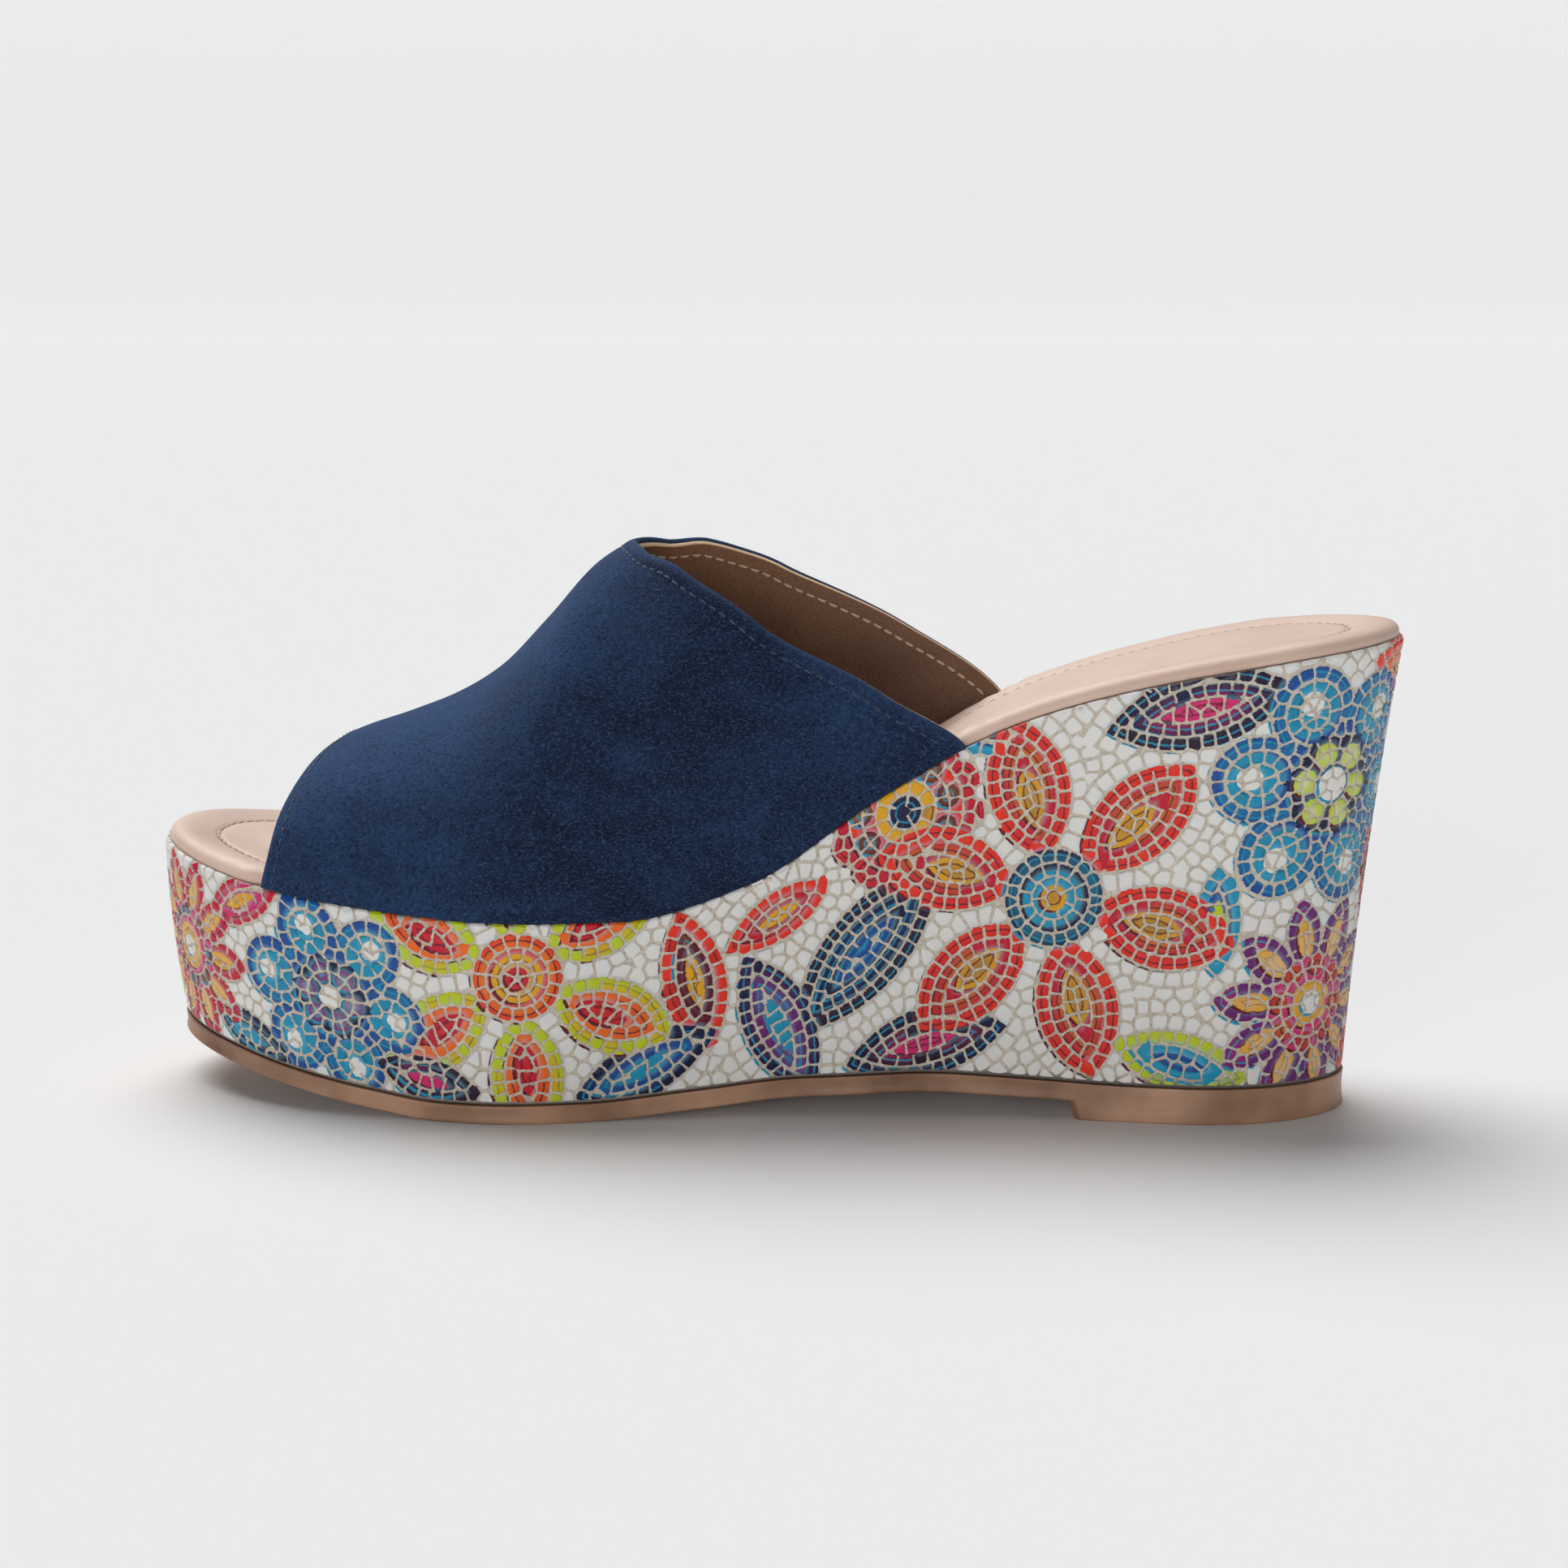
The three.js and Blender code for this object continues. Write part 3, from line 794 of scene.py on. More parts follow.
# Height of the wall, measured on its surface, at a place round it.
def wallTotal(wall, place):
    along, _, _, total = wall
    return np.interp(place % along[-1], along, total)


# Point and normal on the wall at a place and height, between the four nearest grid points.
def wallAt(wall, place, height):
    along, even, normal, total = wall
    place = place % along[-1]
    column = np.interp(place, along, np.arange(len(along)))
    row = np.clip(height / np.interp(place, along, total), 0, 1) * (even.shape[1] - 1)
    i = np.minimum(column.astype(int), len(along) - 2)
    j = np.minimum(row.astype(int), even.shape[1] - 2)
    a, b = (column - i)[..., None], (row - j)[..., None]
    found = []
    for grid in (even, normal):
        near = grid[i, j] * (1 - b) + grid[i, j + 1] * b
        far = grid[i + 1, j] * (1 - b) + grid[i + 1, j + 1] * b
        found.append(near * (1 - a) + far * a)
    return found


# Numbers of the points nearest to each point, from all the squared distances.
def nearestOthers(points, count):
    far = ((points[:, None] - points[None]) ** 2).sum(2)
    np.fill_diagonal(far, 1e9)
    return np.argpartition(far, count, axis=1)[:, :count]


# Rows at each seed: distance to the outline, its slope, the row's width, the row's number and the motif's.
def rowsAt(seeds):
    reach = 0.1
    field, motif = rowField(seeds[:, 0], seeds[:, 1])
    right, _ = rowField(seeds[:, 0] + reach, seeds[:, 1])
    over, _ = rowField(seeds[:, 0], seeds[:, 1] + reach)
    slope = np.stack([right - field, over - field], 1) / reach
    slope /= np.maximum(np.linalg.norm(slope, axis=1), 0.3)[:, None]
    size = np.where(field > 0, tileLook["groundPitch"], tileLook["pitch"])
    return field, slope, size, np.floor(field / size), motif


# Seeds with bare spots filled and crowded ones thinned: a spot is bare where the nearest seed is over
# most of a row away, and one new seed goes into each cell of a coarse grid that holds such a spot.
def fillGaps(wall, seeds, low, high, random):
    look = tileLook
    pitch, margin = look["pitch"], look["margin"]
    p, q = np.meshgrid(np.arange(low + margin, high - margin, 1.0), np.arange(margin, look["tallest"], 1.0))
    spots = np.stack([p.ravel(), q.ravel()], 1)
    spots = spots[spots[:, 1] < wallTotal(wall, spots[:, 0]) - margin]
    size = np.where(rowField(spots[:, 0], spots[:, 1])[0] > 0, look["groundPitch"], pitch)
    far = distanceTo(spots, seeds)
    bare = spots[far > look["bareAt"] * size]
    bare = bare[random.permutation(len(bare))]
    cells = np.floor(bare / pitch).astype(int)
    _, first = np.unique(cells, axis=0, return_index=True)
    seeds = np.concatenate([seeds, bare[first]])
    gap = np.sqrt(((seeds[:, None] - seeds[None]) ** 2).sum(2))
    crowded = np.tril(gap < look["crowdedAt"] * pitch, -1).any(1)
    return seeds[~crowded]


# Seeds: a jittered brick grid, then rounds in which each
# seed is pushed off its neighbours and drawn to a row.
def tileSeeds(wall, low, high, random):
    look = tileLook
    pitch, jitter = look["pitch"], look["jitter"]
    longest, side = look["longestMove"], look["sideMargin"]
    p, q = np.meshgrid(np.arange(low + pitch / 2, high, pitch), np.arange(pitch / 2, look["tallest"], pitch))
    p = p + pitch / 2 * (np.arange(len(p)) % 2)[:, None]
    seeds = np.stack([p.ravel(), q.ravel()], 1).astype(np.float32)
    seeds = seeds + random.uniform(-jitter, jitter, (p.size, 2))
    seeds = seeds[seeds[:, 1] < wallTotal(wall, seeds[:, 0]) - look["margin"]]
    ground = rowField(seeds[:, 0], seeds[:, 1])[0] > 0
    keep = (pitch / look["groundPitch"]) ** 2
    seeds = seeds[~ground | (random.random(len(seeds)) < keep)]
    for turn in range(look["rounds"]):
        if turn in look["fillAt"]:
            seeds = fillGaps(wall, seeds, low, high, random)
        if turn % look["refresh"] == 0:
            near = nearestOthers(seeds, look["pushers"])
        field, slope, size, row, _ = rowsAt(seeds)
        away = seeds[:, None] - seeds[near]
        far = np.linalg.norm(away, axis=2)
        reach = look["pushReach"] * (size[:, None] + size[near]) / 2
        force = np.clip(reach - far, 0, 2) / np.maximum(far, 0.1)
        move = look["push"] * (away * force[..., None]).sum(1)
        move += look["follow"] * ((row + 0.5) * size - field)[:, None] * slope
        seeds = seeds + np.clip(move, -longest, longest)
        seeds[:, 0] = np.clip(seeds[:, 0], low + side, high - side)
        seeds[:, 1] = np.clip(seeds[:, 1], side, wallTotal(wall, seeds[:, 0]) - look["rimMargin"])
    return seeds


# Outline of each tile in polar form: the smooth least of the half distances to its neighbours, to its row's
# two sides and to the wall's edges, each less half a gap and divided by the cosine of the turn from it.
def tileOutlines(seeds, wall, low, high, random):
    look = tileLook
    half, none = look["gapHalf"], look["open"]
    field, slope, size, row, motif = rowsAt(seeds)
    near = nearestOthers(seeds, look["neighbours"])
    away = seeds[near] - seeds[:, None]
    far = np.linalg.norm(away, axis=2)
    heading = np.arctan2(away[..., 1], away[..., 0])
    reach = far / 2 - half
    nextRow = (motif[near] == motif[:, None]) & (np.abs(row[near] - row[:, None]) == 1)
    ahead = (away * slope[:, None]).sum(2) / far
    reach = np.where(nextRow & (np.abs(ahead) > look["nextRowAt"]), none, reach)
    up = np.arctan2(slope[:, 1], slope[:, 0])
    beside = nextRow & (far < look["besideReach"] * size[:, None])
    hasUp = (beside & (row[near] > row[:, None])).any(1)
    hasDown = (beside & (row[near] < row[:, None])).any(1)
    toUp = np.where(hasUp, (row + 1) * size - field - half, none)
    toDown = np.where(hasDown, field - row * size - half, none)
    total = wallTotal(wall, seeds[:, 0])
    lean = (wallTotal(wall, seeds[:, 0] + 1) - wallTotal(wall, seeds[:, 0] - 1)) / 2
    flat = np.ones(len(seeds))
    edges = [((total - seeds[:, 1]) / np.hypot(1, lean) - look["rimGap"], np.arctan2(flat, -lean)),
             (seeds[:, 1] - look["footGap"], -np.pi / 2 * flat),
             (toUp, up), (toDown, up + np.pi),
             (high - seeds[:, 0] - look["joinGap"], 0 * flat),
             (seeds[:, 0] - low - look["joinGap"], np.pi * flat)]
    reach = np.concatenate([reach] + [e[0][:, None] for e in edges], 1)
    heading = np.concatenate([heading] + [e[1][:, None] for e in edges], 1)
    angle = 2 * np.pi * np.arange(look["sides"]) / look["sides"]
    turn = random.uniform(0, 2 * np.pi, len(seeds))
    angle = angle[None] + turn[:, None]
    facing = np.cos(angle[:, :, None] - heading[:, None, :])
    closeness = np.where(facing > 0.05, facing, 0) / np.maximum(reach, 0.15)[:, None, :]
    radius = (closeness ** look["corner"]).sum(2) ** (-1 / look["corner"])
    wobble = random.normal(0, 1, radius.shape)
    wobble = (wobble + np.roll(wobble, 1, 1)) / 2
    radius = radius * (1 + look["ragged"] * np.clip(wobble, -1.6, 1.6))
    return angle, np.clip(radius, *look["radii"])


# For each tile, the print layer whose outline passes nearest its middle, the inks on both sides of
# it, and for each of its points the distances to that outline and to the outline of its shadow.
def tileInks(seeds, place, height):
    layers = printLayers()
    depth = np.stack([layerDistance(layer, seeds[:, 0], seeds[:, 1]) for layer in layers], 1)
    count, many = depth.shape
    order = np.arange(many)
    top = np.where(depth < 0, order, -1).max(1)
    above = np.where(order[None] > top[:, None], depth, 1e3)
    over, overFar = above.argmin(1), above.min(1)
    leave = np.where(top >= 0, -depth[np.arange(count), np.maximum(top, 0)], 1e3)
    below = np.where((depth < 0) & (order[None] < top[:, None]), order, -1).max(1)
    entering = overFar < leave
    border = np.where(entering, over, top)
    beyond = np.where(entering, top, below)

    def ink(key):
        names = [layer[key] for layer in layers] + ["white"]
        return np.array([linear(*inks[name]) for name in names])

    main, core, shade = ink("ink"), ink("core"), ink("shadow")
    offset = printLook["offset"]
    distance, shadow = (np.full(place.shape, 9.0) for _ in range(2))
    for k in range(many):
        mine = border == k
        if mine.any():
            distance[mine] = layerDistance(layers[k], place[mine], height[mine])
            shadow[mine] = layerDistance(layers[k], place[mine] - offset[0], height[mine] - offset[1])
    drift = np.sin(0.31 * place + 0.23 * height) * np.sin(0.27 * height - 0.19 * place) * 0.5 + 0.5
    deep = ease(-distance / printLook["fade"])
    fade = (printLook["fadeShare"] * deep + printLook["driftShare"] * drift**2)[..., None]
    inside = main[border][:, None] * (1 - fade) + core[border][:, None] * fade
    outside = np.broadcast_to(main[beyond][:, None], inside.shape)
    shadowInk = np.broadcast_to(shade[border][:, None], inside.shape)
    return inside, outside, shadowInk, distance, shadow


# Printed tiles: the ink outside the outline, a halo, the shadow and the
# ink inside, each by its signed distance, then a thin inner line, woven
# dots on pale tiles, flecks, and the ground's colour on the bevelled rim.
def tileMaterial():
    look = tileLook
    m, shader = startMaterial("wrap_tiles", Roughness=0.4, Specular_IOR_Level=0.3)
    place = objectPlace(m)
    grain = noise(m, 2600, 3, 0.6, place)
    rough = noise(m, 1100, 2, 0.6, place)
    wander = remap(m, rough, 0.3, 0.7, -0.12, 0.12)
    along, up = attribute(m, "along"), attribute(m, "up")
    weave = calculate(m, "MULTIPLY", calculate(m, "SINE", calculate(m, "MULTIPLY", along, 14.0)),
                      calculate(m, "SINE", calculate(m, "MULTIPLY", up, 14.0)))
    inside, outside = attribute(m, "inkInside", "Color"), attribute(m, "inkOutside", "Color")
    shadowInk = attribute(m, "inkShadow", "Color")
    edge = calculate(m, "ADD", attribute(m, "edge"), wander)
    shadow = calculate(m, "ADD", attribute(m, "shadow"), wander)
    halo = remap(m, edge, 1.0, 0.1, 0, 0.35)
    colour = mixColour(m, halo, outside, mixColour(m, 0.7, shadowInk, linear(*look["halo"])))
    colour = mixColour(m, remap(m, shadow, 0.05, -0.05), colour, shadowInk)
    colour = mixColour(m, remap(m, edge, 0.05, -0.05), colour, inside)
    dark = remap(m, addNode(m, "RGBToBW", Color=inside).outputs[0], 0.6, 0.4, 0, 0.85)
    line = calculate(m, "MULTIPLY", remap(m, edge, -1.4, -1.3), remap(m, edge, -0.95, -1.05))
    line = calculate(m, "MULTIPLY", line, dark)
    colour = mixColour(m, line, colour, shadowInk)
    light = addNode(m, "RGBToBW", Color=colour).outputs[0]
    pale = remap(m, light, 0.55, 0.8)
    dots = remap(m, weave, 0.1, 0.8, 0, 0.16)
    colour = mixColour(m, calculate(m, "MULTIPLY", dots, pale), colour, linear(*look["weave"]))
    fleck = remap(m, grain, 0.6, 0.76, 0, 0.45)
    colour = mixColour(m, calculate(m, "MULTIPLY", fleck, remap(m, pale, 0, 1, 1, 0.15)), colour,
                       linear(*look["fleck"]))
    rim = calculate(m, "ADD", attribute(m, "rim"), remap(m, grain, 0.3, 0.7, -0.4, 0.4))
    colour = mixColour(m, remap(m, rim, 0.62, 0.78), colour, linear(*wrapLook["ground"]))
    connect(m, colour, shader, "Base Color")
    connect(m, remap(m, pale, 0, 1, 0.34, 0.62), shader, "Roughness")
    relief = bump(m, calculate(m, "MULTIPLY", weave, pale), 0.03)
    relief = bump(m, rough, 0.07, relief)
    relief = bump(m, grain, 0.02, relief)
    connect(m, relief, shader, "Normal")
    return m


# One closed mesh of many tiles: a lower ring, an upper edge ring, an inner ring and a middle point for each.
def buildTiles(name, seeds, angle, radius, wall, material):
    look = tileLook
    count, sides = radius.shape
    bevel = np.minimum(look["bevel"], 0.35 * radius)
    middleLift = look["raise"] + look["crown"]
    rings = [(radius + look["flare"], look["sink"], 1.0), (radius, look["raise"] - look["edgeDrop"], 0.62),
             (radius - bevel, look["raise"], 0.0)]
    place = [seeds[:, :1] + r * np.cos(angle) for r, _, _ in rings] + [seeds[:, :1]]
    height = [seeds[:, 1:] + r * np.sin(angle) for r, _, _ in rings] + [seeds[:, 1:]]
    lift = [np.full((count, sides), h) for _, h, _ in rings] + [np.full((count, 1), middleLift)]
    rim = [np.full((count, sides), edge) for _, _, edge in rings] + [np.zeros((count, 1))]
    place, height, lift, rim = (np.concatenate(values, 1) for values in (place, height, lift, rim))
    surface, normal = wallAt(wall, place, height)
    points = surface + normal * lift[..., None]
    inside, outside, shadowInk, distance, shadow = tileInks(seeds, place, height)
    per = place.shape[1]
    side = gridFaces(len(rings), sides, closed=True)
    k, topRing = np.arange(sides), (len(rings) - 1) * sides
    top = np.stack([topRing + k, topRing + (k + 1) % sides, np.full(sides, per - 1)], 1)
    faces = copyFaces([side[:, ::-1], top[:, ::-1], k[None]], count, per)
    piece = makePiece(name, points.reshape(-1, 3), faces, material, flat=(1, 2))
    numbers = {"edge": distance, "shadow": shadow, "rim": rim, "along": place, "up": height}
    for key, values in numbers.items():
        addAttribute(piece, key, values)
    for key, values in {"inkInside": inside, "inkOutside": outside, "inkShadow": shadowInk}.items():
        addAttribute(piece, key, values, "FLOAT_COLOR")
    print(name, "has", count, "tiles")


# All the tiles in one layout from the join right round
# the wall, as two pieces cut at a place behind the waist.
def buildPrint():
    look = tileLook
    wall = wallLookup()
    low, high = look["join"], wall[0][-1] + look["join"]
    random = np.random.default_rng(look["seed"])
    seeds = tileSeeds(wall, low, high, random)
    angle, radius = tileOutlines(seeds, wall, low, high, random)
    material = tileMaterial()
    big = radius.mean(1) > look["smallest"]
    rear = seeds[:, 0] < look["cut"]
    for name, mine in (("rear_tiles", big & rear), ("front_tiles", big & ~rear)):
        buildTiles(name, seeds[mine], angle[mine], radius[mine], wall, material)
    return wall


wall = buildPrint()
print("tiles done")

# Insole: a padded sock with a puffed border, a stitched groove and a low crown inside the groove
insoleLook = {
    "colour": (227, 199, 182),
    "shade": (213, 183, 166),
    "thread": (240, 228, 212),
    "threadShade": (204, 182, 162),
    "wall": 2.2,
    "setback": 0.8,
    "ease": 4,
    "seamInset": 9.5,
    "crown": 0.5,
    "crownWidth": 30,
    "stations": 300,
    "columns": 30,
    "stitchPitch": 2.7,
    "stitchLength": 2.1,
    "stitchWidth": 0.55,
    "stitchLift": 0.55,
    "underInset": 3,
    "foldPitch": 4.2,
    "foldHeight": 0.22,
    "foldReach": 5,
    "slowHeight": 0.07,
}
insoleProfile = {
    "inset": [0, 0.12, 0.5, 1.2, 2.3, 3.6, 5, 6.6, 8, 8.8, 9.2, 9.5, 9.75, 10.2, 11, 13, 18],
    "height": [0.95, 1.5, 2.15, 2.7, 3.08, 3.22, 3.16, 2.94, 2.68, 2.5, 2.2, 1.7, 2.1, 2.46, 2.56, 2.56, 2.5],
}
edgeTable = {
    "across": [-1, -0.9, -0.8, -0.6, -0.4, -0.2, 0, 0.2, 0.4, 0.6, 0.8, 1],
    "collar": [0.335, 0.386, 0.427, 0.499, 0.558, 0.597, 0.613, 0.595, 0.544, 0.474, 0.403, 0.318],
    "front": [0.885, 0.881, 0.878, 0.875, 0.87, 0.865, 0.86, 0.861, 0.864, 0.868, 0.871, 0.874],
}
collarAt, frontAt = smoothCurve(edgeTable, "collar", "across"), smoothCurve(edgeTable, "front", "across")


# Inset of the insole's edge: a small setback from the rim that eases to the upper's wall and a gap behind it.
def insoleEdge(u, side):
    s, look = soleSizes, insoleLook
    collar = np.where(side > 0, collarAt(1), collarAt(-1)) - s["gap"] / s["length"]
    front = np.where(side > 0, frontAt(1), frontAt(-1)) + s["gap"] / s["length"]
    reach = look["ease"] / s["length"]
    behind = 1 - ease(np.maximum(collar - u, u - front) / reach)
    return look["setback"] + (look["wall"] + s["gap"] - look["setback"]) * behind


# Folds where the border goes in under the strap: a cosine of the distance from the strap's edge that
# dies away as an exponential, plus a slow product of two sines, both only on the puffed border.
def borderFolds(u, side, inset):
    s, look = soleSizes, insoleLook
    front = np.where(side > 0, frontAt(1), frontAt(-1))
    collar = np.where(side > 0, collarAt(1), collarAt(-1))
    away = np.minimum(np.abs(u - front), np.abs(u - collar)) * s["length"]
    wave = np.cos(2 * np.pi * away / look["foldPitch"]) * np.exp(-away / look["foldReach"])
    border = ease(inset / 3) * (1 - ease((inset - 6) / 4))
    slow = np.sin(u * 61 + side) * np.sin(u * 37 - 2 * side)
    return border * (look["foldHeight"] * wave + look["slowHeight"] * slow)


# Top of the insole: the rim outline moved in to the edge
# and the inset, at the profile's height plus the folds.
def insolePoint(u, side, inset, profile):
    x, y = rimPoint(u, side, insoleEdge(u, side) + inset)
    return np.stack([x, y, rimHeight(uOf(x)) + profile(inset) + borderFolds(u, side, inset)], -1)


# Smooth leather: a cloud of two colours, fine pores, grain and slow unevenness as relief.
def insoleMaterial():
    look = insoleLook
    m, shader = startMaterial("insole_leather", Roughness=0.5, Specular_IOR_Level=0.4, Sheen_Weight=0.08,
                              Subsurface_Weight=0.08, Subsurface_Scale=0.0015)
    place = objectPlace(m)
    cloud = noise(m, 38, 3, 0.5, place)
    colour = mixColour(m, remap(m, cloud, 0.35, 0.7), linear(*look["colour"]), linear(*look["shade"]))
    pores = addNode(m, "TexVoronoi", {"feature": "DISTANCE_TO_EDGE"}, Vector=place, Scale=1900).outputs[0]
    grain = noise(m, 1400, 3, 0.6, place)
    connect(m, colour, shader, "Base Color")
    connect(m, remap(m, grain, 0.3, 0.7, 0.42, 0.6), shader, "Roughness")
    relief = bump(m, remap(m, pores, 0, 0.25), 0.012)
    relief = bump(m, grain, 0.02, relief)
    relief = bump(m, noise(m, 160, 2, 0.5, place), 0.05, relief)
    connect(m, relief, shader, "Normal")
    return m


# Thread: slanting bands of two colours, raised as its twist.
def threadMaterial(name, colour, shade):
    m, shader = startMaterial(name, Roughness=0.7, Specular_IOR_Level=0.3, Sheen_Weight=0.3)
    place = objectPlace(m)
    bands = {"wave_type": "BANDS", "bands_direction": "DIAGONAL"}
    twist = addNode(m, "TexWave", bands, Vector=place, Scale=900).outputs["Fac"]
    connect(m, mixColour(m, twist, linear(*shade), linear(*colour)), shader, "Base Color")
    connect(m, bump(m, twist, 0.05), shader, "Normal")
    return m


# Vectors scaled to a length of one.
def unit(vectors):
    return vectors / np.linalg.norm(vectors, axis=1)[:, None]


# Evenly spaced places along a chain of points: cumulative length, then straight-line interpolation.
# The heading at each is the difference between a little way ahead and a little way behind.
def resample(points, extras, pitch, closed=False):
    if closed:
        points = np.concatenate([points, points[:1]])
        extras = [np.concatenate([e, e[:1]]) for e in extras]
    run = np.concatenate([[0], np.cumsum(np.linalg.norm(np.diff(points, axis=0), axis=1))])
    count = max(int(round(run[-1] / pitch)), 2)
    at = (np.arange(count) + 0.5) * run[-1] / count

    def pick(values, where):
        return np.stack([np.interp(where, run, values[:, k]) for k in range(3)], 1)

    step = 0.3 * pitch
    along = pick(points, at + step) - pick(points, at - step)
    return pick(points, at), unit(along), [pick(e, at) for e in extras]


stitchShape = {
    "rings": 7,
    "sides": 8,
    "tip": 0.02,
    "arch": 0.35,
    "dive": 1.9,
    "flatness": 0.8,
}


# Row of stitches: each is a short closed tube of thread, thinner towards its ends,
# that arches out of the surface as a parabola and dives into it at both ends.
def stitchRow(name, points, outward, size, material, closed=False):
    shape = stitchShape
    pitch, length, width, lift = size
    centre, along, (out,) = resample(points, [outward], pitch, closed)
    out = unit(out - (out * along).sum(1)[:, None] * along)
    sideways = np.cross(out, along)
    rings, sides = shape["rings"], shape["sides"]
    t = np.linspace(-1, 1, rings)
    radius = width / 2 * np.sqrt(np.maximum(1 - np.abs(t) ** 3, 0)) + shape["tip"]
    rise = lift + width * shape["arch"] * (1 - shape["dive"] * t**2)
    turn = 2 * np.pi * np.arange(sides) / sides
    middles = centre[:, None] + along[:, None] * (t * length / 2)[None, :, None]
    middles = middles + out[:, None] * rise[None, :, None]
    wide = sideways[:, None, None] * (radius[:, None] * np.cos(turn))[None, :, :, None]
    tall = out[:, None, None] * (shape["flatness"] * radius[:, None] * np.sin(turn))[None, :, :, None]
    points = (middles[:, :, None] + wide + tall).reshape(-1, 3)
    perStitch = rings * sides
    caps = np.stack([np.arange(sides)[::-1], np.arange(sides) + perStitch - sides])
    faces = copyFaces([gridFaces(rings, sides, closed=True), caps], len(centre), perStitch)
    makePiece(name, points, faces, material)


# Insole: a lower face, the edge and the profile's rings inwards, then the middle
# of the sock straight across with a sine crown, and a row of thread in the groove.
def buildInsole():
    look = insoleLook
    collarEnds = [collarAt(-1), collarAt(1), frontAt(-1), frontAt(1)]
    reach = look["ease"] / soleSizes["length"]
    extra = sorted(e + k * reach for e in collarEnds for k in (-1, -0.5, 0, 0.5, 1))
    places = stations(look["stations"], extra)
    u, side = loopOf(places)
    size = len(u)
    profile = smoothCurve(insoleProfile, "height", "inset")
    insets = insoleProfile["inset"]
    fine = np.unique(np.concatenate([insets, (np.array(insets[1:]) + np.array(insets[:-1])) / 2]))
    edge = insoleEdge(u, side)
    x, y = rimPoint(u, side, edge)
    under = flatRing(u, side, edge + look["underInset"], soleSizes["gap"])
    base = np.stack([x, y, rimHeight(uOf(x)) + soleSizes["gap"]], 1)
    rings = [under, base] + [insolePoint(u, side, np.full(size, inset), profile) for inset in fine]
    points = np.concatenate(rings)
    faces = gridFaces(len(rings), size, closed=True)[:, ::-1]
    low = acrossFaces(size, 0, False)
    # Middle of the sock: from the last ring's outer half across to its inner half.
    last = rings[-1]
    count = size // 2 + 1
    outer = last[:count]
    inner = last[np.concatenate([[0], np.arange(size - 1, count - 1, -1), [count - 1]])]
    t = np.linspace(0, 1, look["columns"] + 1)[1:-1]
    wide = np.linalg.norm(inner - outer, axis=1)
    crown = look["crown"] * ease(wide / look["crownWidth"])
    cross = outer[1:-1, None] * (1 - t)[None, :, None] + inner[1:-1, None] * t[None, :, None]
    cross[:, :, 2] += crown[1:-1, None] * np.sin(np.pi * t)[None]
    start = len(points)
    points = np.concatenate([points, cross.reshape(-1, 3)])
    first = start - size
    rows, columns = count - 2, len(t)
    grid = start + np.arange(rows * columns).reshape(rows, columns)
    outerIds = first + np.arange(1, count - 1)
    innerIds = first + np.arange(size - 1, count - 1, -1)
    full = np.concatenate([outerIds[:, None], grid, innerIds[:, None]], 1)
    middleFaces = np.stack([full[:-1, :-1], full[:-1, 1:], full[1:, 1:], full[1:, :-1]], -1)
    heelFan = np.stack([np.full(columns + 1, first), full[0, 1:], full[0, :-1]], 1)
    toeFan = np.stack([np.full(columns + 1, first + count - 1), full[-1, :-1], full[-1, 1:]], 1)
    parts = [faces, *low, middleFaces.reshape(-1, 4), heelFan, toeFan]
    pad = makePiece("insole_pad", points, parts, insoleMaterial(), ["insole"])
    seam = insolePoint(u, side, np.full(size, look["seamInset"]), profile)
    up = np.tile([0.0, 0.0, 1.0], (size, 1))
    thread = threadMaterial("insole_thread", look["thread"], look["threadShade"])
    size = (look["stitchPitch"], look["stitchLength"], look["stitchWidth"], look["stitchLift"])
    stitchRow("insole_stitches", seam, up, size, thread, closed=True)


buildInsole()
print("insole done")

# Upper: suede outside, leather lining inside, glued back to back and cut flush at the edges
upperSizes = {
    "instepRise": 71,
    "ridgeShift": 5,
    "sideFullness": 2,
    "wall": 2.2,
    "suede": 1.22,
    "liningFrom": 1.26,
    "edgeRound": 0.42,
    "liningRound": 0.3,
    "edgeSteps": 9,
    "bandWidth": 2.6,
    "bandPuff": 0.2,
    "grooveDepth": 0.2,
    "grooveWidth": 0.4,
    "frontGroove": 0.7,
    "frontRow": 2.2,
    "liningRow": 2.8,
    "collarCalm": 10,
    "frontCalm": 7,
    "lowCalm": 0.05,
    "wornReach": 0.5,
    "wornShare": 0.35,
    "cutWorn": 0.3,
    "columns": 320,
    "rows": 64,
}
ridgeTable = {
    "u": [0.32, 0.5, 0.56, 0.6, 0.64, 0.68, 0.72, 0.76, 0.8, 0.85, 0.9],
    "rise": [1.12, 1.13, 1.09, 1, 0.916, 0.763, 0.617, 0.523, 0.455, 0.372, 0.23],
    "fullness": [2.3, 2.2, 2.1, 2.05, 2.06, 2.08, 2.12, 2.16, 2.2, 2.25, 2.25],
}
ridgeShare, fullnessAt = smoothCurve(ridgeTable, "rise"), smoothCurve(ridgeTable, "fullness")
# Soft hollows and swells of the suede: place u, across, length and width as shares, height in millimetres.
swellTable = {
    "u": [0.8, 0.74, 0.66, 0.58, 0.5, 0.7, 0.62],
    "across": [-0.55, -0.3, -0.62, -0.35, -0.72, 0.4, 0.6],
    "long": [0.045, 0.03, 0.05, 0.03, 0.05, 0.05, 0.05],
    "wide": [0.2, 0.16, 0.18, 0.2, 0.12, 0.2, 0.2],
    "height": [0.35, -0.35, 0.4, -0.35, 0.35, 0.3, -0.3],
}


